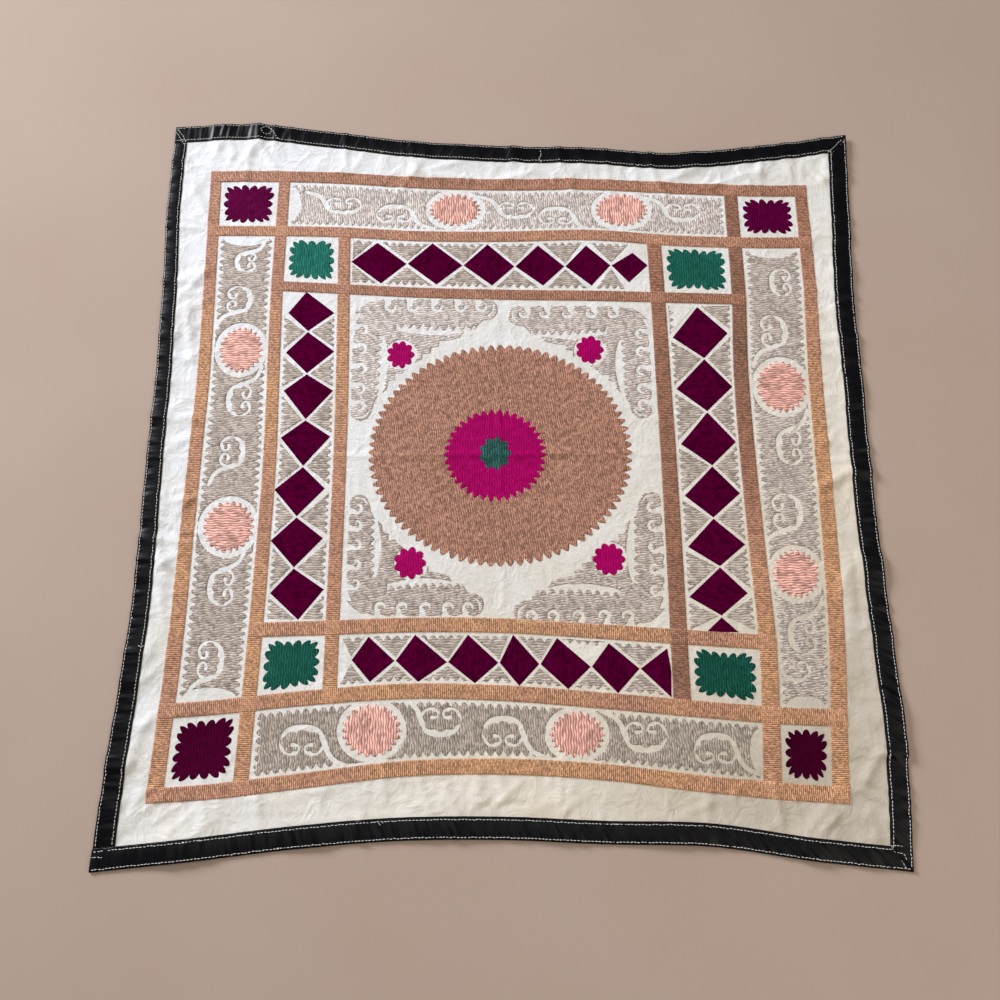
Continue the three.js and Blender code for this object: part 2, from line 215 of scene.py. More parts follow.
def small_creases() -> list[Fold]:
    """Fine creases of a washed cotton cloth, in its bare margins and along its pressed folds.

    Returns:
        The creases as narrow low folds.
    """
    draw = random.Random(SEED)
    creases = []
    for side in ("left", "right", "bottom", "top"):
        for i in range(96):
            place = draw.uniform(-590, 590)
            inward = draw.uniform(34, 92)
            if side == "left":
                x, y, lean = float(LEFT.at(place)) + inward * 0.75, place, 0
            elif side == "right":
                x, y, lean = float(RIGHT.at(place)) - inward * 0.75, place, 0
            elif side == "bottom":
                x, y, lean = place, float(BOTTOM.at(place)) + inward, 90
            else:
                x, y, lean = place, float(TOP.at(place)) - inward * 0.8, 90
            if i % 3:
                creases.append(Fold(x, y, draw.uniform(14, 46), draw.uniform(6, 10),
                                    draw.uniform(0.6, 1.8), lean + draw.gauss(0, 34)))
            else:
                creases.append(Fold(x, y, draw.uniform(40, 110), draw.uniform(9, 17),
                                    draw.uniform(1.4, 3.4), lean + draw.gauss(0, 46)))
    return creases


PRESSED_ACROSS = Fold(0, 11, 640, 10, 2.1, 0.4)
PRESSED_UPRIGHT = Fold(-7, 0, 640, 8, 1.1, 91)
RIDGES = (*FOLDS, PRESSED_ACROSS, PRESSED_UPRIGHT, *small_creases())


def inner_limits(x: Array, y: Array) -> tuple[Array, Array, Array, Array]:
    """The binding's inner edges seen from each point: left, right, bottom and top.

    Args:
        x: Places to the right.
        y: Places to the far edge.

    Returns:
        The places of the four inner edges.
    """
    widths = {side: width_between(*BINDING_WIDTHS[side], y if side in ("left", "right") else x)
              for side in BINDING_WIDTHS}
    return (
        LEFT.at(y) + widths["left"], RIGHT.at(y) - widths["right"],
        BOTTOM.at(x) + widths["bottom"], TOP.at(x) - widths["top"],
    )


def lift(x: Array, y: Array) -> Array:
    """How far the folds lift the cloth. Inside the binding it is read at the inner edge.

    Args:
        x: Places to the right.
        y: Places to the far edge.

    Returns:
        The height of the cloth's underside above the floor.
    """
    left, right, bottom, top = inner_limits(x, y)
    x, y = np.clip(x, left, right), np.clip(y, bottom, top)
    height = np.zeros_like(x)
    for ridge in RIDGES:
        reach = ridge.long + ridge.wide
        near = (np.abs(x - ridge.x) < reach) & (np.abs(y - ridge.y) < reach)
        height[near] += ridge.rise(x[near], y[near])
    return height


def cloth_top(x: Array, y: Array) -> Array:
    """Height of the ground cloth's upper face, with the part that the binding holds up.

    Args:
        x: Places to the right.
        y: Places to the far edge.

    Returns:
        The heights above the floor.
    """
    left, right, bottom, top = inner_limits(x, y)
    inside = np.minimum(np.minimum(x - left, right - x), np.minimum(y - bottom, top - y))
    held = EDGE_UP * ease(1 - (inside - 2 * GAP) / (SETTLE - 3 * GAP))
    return CLOTH + held + lift(x, y)


def crossing(upright: Course, across: Course, turns: int = 8) -> tuple[Array, Array]:
    """The point where an upright course and a course across meet.

    Args:
        upright: Course whose x depends on y.
        across: Course whose y depends on x.
        turns: Rounds of closing in on the point.

    Returns:
        The point's x and y, each an array of one number.
    """
    x = upright(np.zeros(1))
    y = across(x)
    for _ in range(turns):
        x = upright(y)
        y = across(x)
    return x, y


def linear(code: str) -> tuple[float, float, float, float]:
    """An sRGB hex colour as linear RGBA.

    Args:
        code: A # and six digits.

    Returns:
        Red, green, blue and alpha.
    """
    parts = [int(code[i:i + 2], 16) / 255 for i in (1, 3, 5)]
    turned = [p / 12.92 if p <= 0.04045 else ((p + 0.055) / 1.055) ** 2.4 for p in parts]
    return (*turned, 1.0)


def add_node(tree: bpy.types.NodeTree, kind: str, settings: dict | None = None,
             **inputs: object) -> bpy.types.Node:
    """Adds a node with its settings, and sets or links its inputs.

    Args:
        tree: The node tree.
        kind: The node's type name.
        settings: Properties of the node.
        **inputs: Input names with _ for spaces, each a value or an output socket to link.

    Returns:
        The new node.
    """
    node = tree.nodes.new(kind)
    for name, value in (settings or {}).items():
        setattr(node, name, value)
    for name, value in inputs.items():
        key = int(name[1:]) if name[0] == "i" and name[1:].isdigit() else name.replace("_", " ")
        if isinstance(value, bpy.types.NodeSocket):
            tree.links.new(value, node.inputs[key])
        else:
            node.inputs[key].default_value = value
    return node


def new_material(name: str) -> tuple[bpy.types.Material, bpy.types.NodeTree, bpy.types.Node]:
    """A material with a Principled shader, and its tree and shader.

    Args:
        name: The material's name.

    Returns:
        The material, its node tree and its shader.
    """
    material = bpy.data.materials.new(name)
    material.use_nodes = True
    tree = material.node_tree
    shader = next(n for n in tree.nodes if n.type == "BSDF_PRINCIPLED")
    return material, tree, shader


def ramp_node(tree: bpy.types.NodeTree, factor: bpy.types.NodeSocket,
              stops: Sequence[tuple[float, str]]) -> bpy.types.NodeSocket:
    """A colour ramp over the given stops, and its colour output.

    Args:
        tree: The node tree.
        factor: The socket that drives the ramp.
        stops: Places from 0 to 1, each with its sRGB hex colour.

    Returns:
        The colour output.
    """
    node = add_node(tree, "ShaderNodeValToRGB", Fac=factor)
    ramp = node.color_ramp
    while len(ramp.elements) < len(stops):
        ramp.elements.new(1.0)
    for element, (place, code) in zip(ramp.elements, stops):
        element.position = place
        element.color = linear(code)
    return node.outputs["Color"]


@dataclass(frozen=True)
class SilkFloss:
    """Hand-dyed silk floss laid in rows and couched down, which gives a soft grainy sheen.

    The colour runs over the dye lots by the attribute shade, takes painted shade between the
    rows and at the couching dips by the attribute pile, and changes at random from stitch to
    stitch by the attribute tone, which is also lower off the row crests as painted shade.
    """

    name: str
    dyes: tuple[str, ...]
    grain: float = 0.4
    roughness: float = 0.6
    specular: float = 0.25
    # How deep the painted shade in the hollows between the rows is
    hollow: float = 0.6

    def material(self) -> bpy.types.Material:
        """Builds the node material.

        Returns:
            The new material.
        """
        material, tree, shader = new_material(self.name)
        shade, pile, tone = (
            add_node(tree, "ShaderNodeAttribute", {"attribute_name": key}).outputs["Fac"]
            for key in ("shade", "pile", "tone")
        )
        place = add_node(tree, "ShaderNodeTexCoord").outputs["Object"]
        # Dye lots drift over 60 to 80 mm
        drift = add_node(tree, "ShaderNodeTexNoise", Vector=place, Scale=14.0, Detail=2.0)
        lot = add_node(tree, "ShaderNodeMath", {"operation": "MULTIPLY_ADD"},
                       i0=drift.outputs["Fac"], i1=0.34, i2=-0.17)
        lot = add_node(tree, "ShaderNodeMath", {"operation": "ADD", "use_clamp": True},
                       i0=lot.outputs[0], i1=shade)
        last = max(len(self.dyes) - 1, 1)
        colour = ramp_node(tree, lot.outputs[0],
                           [(i / last, dye) for i, dye in enumerate(self.dyes)])
        # Light and dark from stitch to stitch, and painted shade in the hollows between the rows
        stitch = add_node(tree, "ShaderNodeMath", {"operation": "MULTIPLY_ADD"},
                          i0=tone, i1=2 * self.grain, i2=1.0 - self.grain)
        hollow = add_node(tree, "ShaderNodeMath", {"operation": "MULTIPLY_ADD"},
                          i0=pile, i1=2 * self.hollow, i2=1.0 - self.hollow)
        value = add_node(tree, "ShaderNodeMath", {"operation": "MULTIPLY"},
                         i0=stitch.outputs[0], i1=hollow.outputs[0])
        mixed = add_node(tree, "ShaderNodeHueSaturation", Color=colour, Value=value.outputs[0])
        tree.links.new(mixed.outputs["Color"], shader.inputs["Base Color"])
        # Thread twist, drawn at 1.2 mm because the real 0.4 mm is too fine to show
        twist = add_node(tree, "ShaderNodeTexNoise", Vector=place, Scale=830.0, Detail=2.0)
        bump = add_node(tree, "ShaderNodeBump", Height=twist.outputs["Fac"], Strength=0.35,
                        Distance=0.0004)
        tree.links.new(bump.outputs["Normal"], shader.inputs["Normal"])
        shader.inputs["Roughness"].default_value = self.roughness
        shader.inputs["Specular IOR Level"].default_value = self.specular
        return material


@dataclass(frozen=True)
class CottonMuslin:
    """Hand-woven off-white cotton, washed and pressed, with a plain weave and faint stains."""

    name: str = "cotton_muslin_plain_woven"
    # The ramp runs from the lit far left to the shaded near right, as painted light and shade
    # over the cloth
    cool: str = "#f2f5f9"
    plain: str = "#efefec"
    warm: str = "#e9e2d3"
    near_right_shade: str = "#cdc4b5"

    def material(self) -> bpy.types.Material:
        """Builds the node material.

        Returns:
            The new material.
        """
        material, tree, shader = new_material(self.name)
        place = add_node(tree, "ShaderNodeTexCoord").outputs["Object"]
        split = add_node(tree, "ShaderNodeSeparateXYZ", Vector=place)
        # Painted light falloff: lighter and cooler towards the far left, darker and warmer
        # towards the near right
        slope = add_node(tree, "ShaderNodeMath", {"operation": "SUBTRACT"},
                         i0=split.outputs["X"], i1=split.outputs["Y"])
        share = add_node(tree, "ShaderNodeMath", {"operation": "MULTIPLY_ADD", "use_clamp": True},
                         i0=slope.outputs[0], i1=0.55, i2=0.5)
        colour = ramp_node(tree, share.outputs[0], [
            (0.0, self.cool), (0.5, self.plain), (0.82, self.warm), (1.0, self.near_right_shade)])
        cloud = add_node(tree, "ShaderNodeTexNoise", Vector=place, Scale=9.0, Detail=4.0)
        stain = ramp_node(tree, cloud.outputs["Fac"], [(0.3, "#f4efe6"), (0.62, "#ffffff")])
        tinted = add_node(tree, "ShaderNodeMix", {"data_type": "RGBA", "blend_type": "MULTIPLY"},
                          Factor=0.8)
        tree.links.new(colour, tinted.inputs["A"])
        tree.links.new(stain, tinted.inputs["B"])
        tree.links.new(tinted.outputs["Result"], shader.inputs["Base Color"])
        # Plain weave, drawn at 1.6 mm because the real 0.6 mm thread is too fine to show
        threads = [
            add_node(tree, "ShaderNodeTexWave", {"bands_direction": way}, Vector=place,
                     Scale=200.0, Distortion=1.2, Detail=1.0)
            for way in ("X", "Y")
        ]
        weave = add_node(tree, "ShaderNodeMath", {"operation": "ADD"},
                         i0=threads[0].outputs["Fac"], i1=threads[1].outputs["Fac"])
        # Ripples where the embroidery draws the cloth together, 5 mm apart
        ripple = add_node(tree, "ShaderNodeTexNoise", Vector=place, Scale=200.0, Detail=3.0)
        height = add_node(tree, "ShaderNodeMath", {"operation": "MULTIPLY_ADD"},
                          i0=ripple.outputs["Fac"], i1=4.0, i2=weave.outputs[0])
        # Sharp wrinkles of a washed cloth, about 30 mm apart
        wrinkle = add_node(tree, "ShaderNodeTexNoise", Vector=place, Scale=26.0, Detail=3.0,
                           Distortion=0.6)
        ridge = add_node(tree, "ShaderNodeMath", {"operation": "SUBTRACT"},
                         i0=wrinkle.outputs["Fac"], i1=0.5)
        crest = add_node(tree, "ShaderNodeMath", {"operation": "ABSOLUTE"}, i0=ridge.outputs[0])
        creased = add_node(tree, "ShaderNodeMath", {"operation": "MULTIPLY_ADD"},
                           i0=crest.outputs[0], i1=-34.0, i2=height.outputs[0])
        bump = add_node(tree, "ShaderNodeBump", Height=creased.outputs[0], Strength=0.45,
                        Distance=0.0006)
        tree.links.new(bump.outputs["Normal"], shader.inputs["Normal"])
        shader.inputs["Roughness"].default_value = 0.86
        shader.inputs["Sheen Weight"].default_value = 0.15
        return material


@dataclass(frozen=True)
class WovenSatin:
    """Black blue satin, warp faced, whose floats give long soft highlights along the puckers."""

    name: str = "viscose_satin_woven"
    colour: str = "#050508"
    crease: str = "#0c0c12"

    def material(self) -> bpy.types.Material:
        """Builds the node material.

        Returns:
            The new material.
        """
        material, tree, shader = new_material(self.name)
        place = add_node(tree, "ShaderNodeTexCoord").outputs["Object"]
        cloud = add_node(tree, "ShaderNodeTexNoise", Vector=place, Scale=60.0, Detail=3.0)
        colour = ramp_node(tree, cloud.outputs["Fac"], [(0.4, self.colour), (0.75, self.crease)])
        tree.links.new(colour, shader.inputs["Base Color"])
        # Satin floats, drawn at 1 mm because the real 0.2 mm is too fine to show
        floats = add_node(tree, "ShaderNodeTexNoise", Vector=place, Scale=1000.0, Detail=1.0)
        bump = add_node(tree, "ShaderNodeBump", Height=floats.outputs["Fac"], Strength=0.2,
                        Distance=0.0003)
        tree.links.new(bump.outputs["Normal"], shader.inputs["Normal"])
        shader.inputs["Roughness"].default_value = 0.36
        shader.inputs["Specular IOR Level"].default_value = 0.16
        return material


@dataclass(frozen=True)
class SewingThread:
    """White cotton sewing thread, two-ply twisted and matt."""

    name: str = "cotton_thread_twisted"
    colour: str = "#f2f0ea"

    def material(self) -> bpy.types.Material:
        """Builds the node material.

        Returns:
            The new material.
        """
        material, tree, shader = new_material(self.name)
        place = add_node(tree, "ShaderNodeTexCoord").outputs["Object"]
        ply = add_node(tree, "ShaderNodeTexNoise", Vector=place, Scale=900.0, Detail=2.0)
        colour = ramp_node(tree, ply.outputs["Fac"], [(0.3, "#cfccc4"), (0.6, self.colour)])
        tree.links.new(colour, shader.inputs["Base Color"])
        shader.inputs["Roughness"].default_value = 0.8
        return material


@dataclass(frozen=True)
class Plaster:
    """Matt pale floor, smooth rolled plaster."""

    name: str = "plaster_rolled"

    def material(self) -> bpy.types.Material:
        """Builds the node material.

        Returns:
            The new material.
        """
        material, tree, shader = new_material(self.name)
        place = add_node(tree, "ShaderNodeTexCoord").outputs["Object"]
        cloud = add_node(tree, "ShaderNodeTexNoise", Vector=place, Scale=3.0, Detail=3.0)
        colour = ramp_node(tree, cloud.outputs["Fac"], [(0.3, "#b39e8f"), (0.7, "#b7a395")])
        tree.links.new(colour, shader.inputs["Base Color"])
        shader.inputs["Roughness"].default_value = 0.95
        return material


def dress(bm: bmesh.types.BMesh, name: str, material: bpy.types.Material,
          smooth: bool = True) -> bpy.types.Object:
    """Turns a bmesh in millimetres into an object in metres with its material.

    Args:
        bm: The mesh, which is freed.
        name: The piece's name.
        material: Its material.
        smooth: Whether its faces are shaded smooth.

    Returns:
        The new object at the origin.
    """
    bmesh.ops.scale(bm, vec=(MM, MM, MM), verts=bm.verts[:])
    mesh = bpy.data.meshes.new(name)
    bm.to_mesh(mesh)
    bm.free()
    mesh.materials.append(material)
    mesh.polygons.foreach_set("use_smooth", [smooth] * len(mesh.polygons))
    piece = bpy.data.objects.new(name, mesh)
    bpy.context.scene.collection.objects.link(piece)
    return piece


def vertex_array(bm: bmesh.types.BMesh) -> Array:
    """The vertices' places as an array of x, y and z."""
    return np.array([v.co for v in bm.verts], float).reshape(-1, 3)


def place_vertices(bm: bmesh.types.BMesh, places: Array) -> None:
    """Moves every vertex to its row of the array."""
    for vertex, place in zip(bm.verts, places.tolist()):
        vertex.co = place


def face_up(bm: bmesh.types.BMesh, tops: Sequence[bmesh.types.BMFace]) -> None:
    """Makes the normals agree, and turns them all where the given faces look down.

    Args:
        bm: The mesh.
        tops: Faces that should look up.
    """
    bmesh.ops.recalc_face_normals(bm, faces=bm.faces[:])
    if sum(f.normal.z for f in tops) < 0:
        bmesh.ops.reverse_faces(bm, faces=bm.faces[:])


def set_attribute(bm: bmesh.types.BMesh, name: str, values: Array) -> None:
    """Writes one number per vertex as an attribute that the materials read.

    Args:
        bm: The mesh.
        name: The attribute's name.
        values: One number for each vertex.
    """
    layer = bm.verts.layers.float.get(name) or bm.verts.layers.float.new(name)
    for vertex, value in zip(bm.verts, values.tolist()):
        vertex[layer] = value


def hashed(*keys: Array) -> Array:
    """A repeatable random number from 0 to 1 for each set of whole-number keys.

    Args:
        *keys: Arrays of one shape, rounded to whole numbers.

    Returns:
        The numbers.
    """
    total = np.zeros_like(np.asarray(keys[0], float))
    for key, weight in zip(keys, (12.9898, 78.233, 37.719)):
        total = total + np.round(key) * weight
    return np.abs(np.sin(total) * 43758.5453) % 1.0


def smooth_path(points: Sequence[Point], step: float = 2.5) -> Array:
    """A smooth curve through the points, with a point about every step.

    Args:
        points: Points that the curve passes through.
        step: Distance between the curve's points.

    Returns:
        The curve's points.
    """
    p = np.asarray(points, float)
    out = []
    for i in range(len(p) - 1):
        before, start, end, after = p[max(i - 1, 0)], p[i], p[i + 1], p[min(i + 2, len(p) - 1)]
        count = max(2, int(np.linalg.norm(end - start) / step))
        for t in np.arange(count) / count:
            out.append(
                0.5 * (2 * start + (end - before) * t
                       + (2 * before - 5 * start + 4 * end - after) * t**2
                       + (3 * start - before - 3 * end + after) * t**3)
            )
    out.append(p[-1])
    return np.array(out)


def ribbon(points: Sequence[Point], widths: Sequence[float], scallops: int = 0,
           bite: float = 0.0, inner: int = -1) -> list[Point]:
    """Outline of a stroke with rounded ends whose width changes along it.

    Args:
        points: Points of the middle line.
        widths: Widths spread evenly along the line.
        scallops: Number of lobes that push into the inner side.
        bite: How far the lobes push in.
        inner: 1 or -1, the side with the lobes.

    Returns:
        The outline's points.
    """
    line = smooth_path(points)
    steps = np.linalg.norm(np.diff(line, axis=0), axis=1)
    share = np.concatenate([[0], np.cumsum(steps)]) / steps.sum()
    half = np.interp(share, np.linspace(0, 1, len(widths)), widths) / 2
    way = np.gradient(line, axis=0)
    way /= np.linalg.norm(way, axis=1)[:, None] + 1e-9
    normal = np.stack([-way[:, 1], way[:, 0]], 1)
    lobes = bite * np.abs(np.sin(share * math.pi * scallops)) * (scallops > 0)
    up = half - (lobes if inner > 0 else 0)
    down = half - (lobes if inner < 0 else 0)
    cap_end = [line[-1] + half[-1] * (way[-1] * math.sin(a) + normal[-1] * math.cos(a))
               for a in (0.8, 1.57, 2.3)]
    cap_start = [line[0] + half[0] * (-way[0] * math.sin(a) - normal[0] * math.cos(a))
                 for a in (0.8, 1.57, 2.3)]
    outline = [*(line + normal * up[:, None]), *cap_end,
               *(line - normal * down[:, None])[::-1], *cap_start]
    return [(float(x), float(y)) for x, y in outline]


def lobed_oval(x: float, y: float, width: float, depth: float, lobes: int, bite: float,
               point: float = 1.0, detail: int = 8) -> list[Point]:
    """Outline of an oval whose rim has lobes with sharp notches between them.

    Args:
        x: Middle, to the right.
        y: Middle, to the far edge.
        width: Size over the lobes, left to right.
        depth: Size over the lobes, near to far.
        lobes: Number of lobes.
        bite: Depth of the notches.
        point: 1 gives round lobes and 3 pointed ones.
        detail: Points for each lobe.

    Returns:
        The outline's points.
    """
    outline = []
    for i in range(lobes * detail):
        angle = 2 * math.pi * i / (lobes * detail)
        lobe = np.array(round(i / detail) % lobes)
        uneven = 0.75 + 0.5 * float(hashed(lobe, np.array(x + y)))
        inset = bite * uneven * (1 - abs(math.cos(lobes * angle / 2)) ** point)
        outline.append((x + (width / 2 - inset) * math.cos(angle),
                        y + (depth / 2 - inset) * math.sin(angle)))
    return outline


def toothed(points: Sequence[Point], pitch: float, bite: float, side: float = 1.0,
            fade: Callable[[float], float] | None = None) -> list[Point]:
    """A path with lobes on one side of it, with sharp notches between them.

    Args:
        points: Points of the path, which the lobes' tips touch.
        pitch: Length of a lobe.
        bite: Depth of the notches.
        side: 1 to cut the notches to the path's left, -1 to its right.
        fade: Share of the bite at a share of the way along the path.

    Returns:
        The path's points.
    """
    line = smooth_path(points, pitch / 8)
    steps = np.linalg.norm(np.diff(line, axis=0), axis=1)
    length = np.concatenate([[0], np.cumsum(steps)])
    lobes = max(1, round(length[-1] / pitch))
    way = np.gradient(line, axis=0)
    way /= np.linalg.norm(way, axis=1)[:, None] + 1e-9
    share = length / length[-1]
    uneven = 0.8 + 0.4 * hashed(np.floor(share * lobes), share * 0 + points[0][0])
    inset = bite * uneven * (1 - np.abs(np.sin(share * math.pi * lobes)))
    if fade is not None:
        inset = inset * np.array([fade(float(s)) for s in share])
    moved = line + side * np.stack([-way[:, 1], way[:, 0]], 1) * inset[:, None]
    return [(float(a), float(b)) for a, b in moved]


def anticlockwise(ring: Sequence[Point]) -> list[Point]:
    """The ring's points in anticlockwise order.

    Args:
        ring: A closed outline.

    Returns:
        The ring, reversed where it ran clockwise.
    """
    x, y = np.array(ring, float).T
    area = float(np.sum(x * np.roll(y, -1) - y * np.roll(x, -1)))
    return list(ring) if area > 0 else list(ring)[::-1]


@dataclass(frozen=True)
class Stitch:
    """How a figure is filled: rows of laid floss, couched down at even places.

    pitch is the width of a row, drawn at 4 mm because the real 1.2 mm is too fine to show,
    couch the length between two couching stitches, turn the rows' direction in degrees from
    +X, high the rows' relief, wave how far they wander, lap the height they start at, and
    shade the dye lot.
    """

    turn: float = 0.0
    pitch: float = 4.0
    couch: float = 6.0
    high: float = 1.0
    wave: float = 0.7
    dip: float = 0.4
    shade: float = 0.5
    lap: float = 0.2


UNDER = 0.3  # how far the foot of the embroidery reaches into the ground cloth

MAGENTA = ("#93004f", "#a8005e", "#b8086c")
GREY = SilkFloss("silk_floss_grey_dyed", ("#9d9083", "#b0a396", "#c1b4a9", "#d3c8c0"),
                 grain=0.42, hollow=0.42)


@dataclass
class Figure:
    """An embroidered figure: outlines to fill, outlines to leave bare, and its stitch."""

    fills: list[list[Point]]
    bare: list[list[Point]] = field(default_factory=list)
    stitch: Stitch = Stitch()

    def outline_mesh(self) -> bmesh.types.BMesh:
        """The flat figure: what the fills cover and the bare outlines don't.

        Returns:
            The mesh at height 0.
        """
        rings = [*self.fills, *self.bare]
        points, faces = [], []
        for ring in rings:
            faces.append(list(range(len(points), len(points) + len(ring))))
            points.extend(Vector(p) for p in anticlockwise(ring))
        made = delaunay_2d_cdt(points, [], faces, 4, 1e-3, True)
        places, kept = made[0], []
        for face, origins in zip(made[2], made[5]):
            if origins and all(o < len(self.fills) for o in origins):
                kept.append(face)
        bm = bmesh.new()
        corners = [bm.verts.new((p.x, p.y, 0)) for p in places]
        for face in kept:
            bm.faces.new([corners[i] for i in face])
        bmesh.ops.delete(bm, geom=[v for v in bm.verts if not v.link_faces], context="VERTS")
        return bm

    def cut_rows(self, bm: bmesh.types.BMesh) -> None:
        """Cuts the figure along its rows and across them at the couching stitches.

        Args:
            bm: The flat figure, which is cut in place.
        """
        turn = math.radians(self.stitch.turn)
        along, across = Vector((math.cos(turn), math.sin(turn), 0)), Vector(
            (-math.sin(turn), math.cos(turn), 0))
        for way, step in ((across, self.stitch.pitch / 2), (along, self.stitch.couch)):
            reach = [v.co.dot(way) for v in bm.verts]
            for k in range(math.ceil(min(reach) / step), math.floor(max(reach) / step) + 1):
                bmesh.ops.bisect_plane(
                    bm, geom=bm.verts[:] + bm.edges[:] + bm.faces[:], dist=1e-3,
                    plane_co=way * (k * step), plane_no=way,
                )

    def build(self) -> bmesh.types.BMesh:
        """The raised stitched figure in place on the cloth.

        Returns:
            The mesh in millimetres.
        """
        bm = self.outline_mesh()
        self.cut_rows(bm)
        stitch = self.stitch
        turn = math.radians(stitch.turn)
        flat = vertex_array(bm)
        along = flat[:, 0] * math.cos(turn) + flat[:, 1] * math.sin(turn)
        across = -flat[:, 0] * math.sin(turn) + flat[:, 1] * math.cos(turn)
        row = np.floor(across / stitch.pitch + 1e-4)
        phase = across / stitch.pitch - row
        pile = 1 - np.abs(2 * phase - 1)
        place = np.round(along / stitch.couch)
        odd = (place + row) % 2
        rim = np.array([v.is_boundary for v in bm.verts])
        height = stitch.lap + stitch.high * pile * (1 - stitch.dip * odd)
        height = np.where(rim, height * 0.55, height)
        wander = stitch.wave * (np.sin(along / 3.1 + 2.2 * np.sin(across / 11) + row)
                                + 0.6 * np.sin(along / 7.3 - across / 5))
        wander = np.where(rim, 0, wander)
        x = flat[:, 0] - wander * math.sin(turn)
        y = flat[:, 1] + wander * math.cos(turn)
        # Painted shade: tone is lower off the row crests and pile lower at the couching dips,
        # which the floss material darkens
        tone = hashed(place, row) * np.where(pile > 0.5, 1, 0.6)
        set_attribute(bm, "pile", pile * np.where(odd > 0, 0.8, 1.0))
        set_attribute(bm, "tone", tone)
        set_attribute(bm, "shade", np.full(len(x), stitch.shade))
        place_vertices(bm, np.stack([x, y, cloth_top(x, y) + height], 1))
        rim_edges = [e for e in bm.edges if e.is_boundary]
        sides = bmesh.ops.extrude_edge_only(bm, edges=rim_edges)
        feet = [v for v in sides["geom"] if isinstance(v, bmesh.types.BMVert)]
        for vertex, rise in zip(feet, cloth_top(
                np.array([v.co.x for v in feet]), np.array([v.co.y for v in feet])).tolist()):
            vertex.co.z = rise - UNDER
        face_up(bm, bm.faces[:])
        return bm


def join(parts: Sequence[bmesh.types.BMesh]) -> bmesh.types.BMesh:
    """Several meshes as one. The parts are freed.

    Args:
        parts: Meshes in millimetres.

    Returns:
        The first mesh, with the others added.
    """
    whole = parts[0]
    for part in parts[1:]:
        mesh = bpy.data.meshes.new("part")
        part.to_mesh(mesh)
        part.free()
        whole.from_mesh(mesh)
        bpy.data.meshes.remove(mesh)
    return whole


def embroider(name: str, figures: Sequence[Figure], floss: SilkFloss) -> bpy.types.Object:
    """One piece of embroidery from figures of the same floss."""
    return dress(join([figure.build() for figure in figures]), name, floss.material())


@dataclass
class Band:
    """One embroidered band of the lattice, with its stitches laid across it."""

    line: LatticeLine
    upright: bool
    start: float
    end: float
    shades: tuple[float, ...]
    pitch: float = 3.0
    columns: int = 12
    high: float = 1.0
    lap: float = 0.0

    def build(self) -> bmesh.types.BMesh:
        """The raised band in place on the cloth.

        Returns:
            The mesh in millimetres.
        """
        length = self.end - self.start
        rows = max(2, 2 * round(length / self.pitch))
        bm = bmesh.new()
        bmesh.ops.create_grid(bm, x_segments=self.columns, y_segments=rows, size=1.0)
        grid = vertex_array(bm)
        column = np.round((grid[:, 0] + 1) / 2 * self.columns)
        line = np.round((grid[:, 1] + 1) / 2 * rows)
        step = length / rows
        wobble = 0.35 * np.sin(column * 1.1 + np.floor(line / 2) * 2.4)
        place = self.start + line * step + np.where((line > 0) & (line < rows), wobble, 0)
        crest = line % 2
        half = self.line.width(place) / 2
        share = np.interp(column, [0, 1, self.columns - 1, self.columns], [-1, -0.93, 0.93, 1])
        scallop = np.where(crest > 0, 0.7, -0.3) + 0.5 * (hashed(line, column * 0 + 3) - 0.5)
        off = share * (half + np.where(np.abs(share) > 0.9, scallop, 0))
        centre = self.line.at(place)
        x, y = (centre + off, place) if self.upright else (place, centre + off)
        rim = (column == 0) | (column == self.columns)
        ends = (line == 0) | (line == rows)
        odd = (column + np.floor(line / 2)) % 2
        height = self.lap + 0.2 + self.high * crest * (1 - 0.3 * odd)
        height = np.where(rim | ends, -UNDER, height)
        shade = np.interp((place - self.start) / length,
                          np.linspace(0, 1, len(self.shades)), self.shades)
        # Painted shade: pile and tone are lower between the rows, at the couching dips and along
        # the band's edges, which the floss material darkens
        set_attribute(bm, "pile", np.where(rim, 0.4, crest * (1 - 0.2 * odd)))
        set_attribute(bm, "tone", hashed(column, np.floor(line / 2)) * np.where(crest, 1, 0.6))
        set_attribute(bm, "shade", shade + 0.12 * (hashed(np.floor(line / 14), column * 0) - 0.5))
        place_vertices(bm, np.stack([x, y, cloth_top(x, y) + height], 1))
        face_up(bm, bm.faces[:])
        return bm


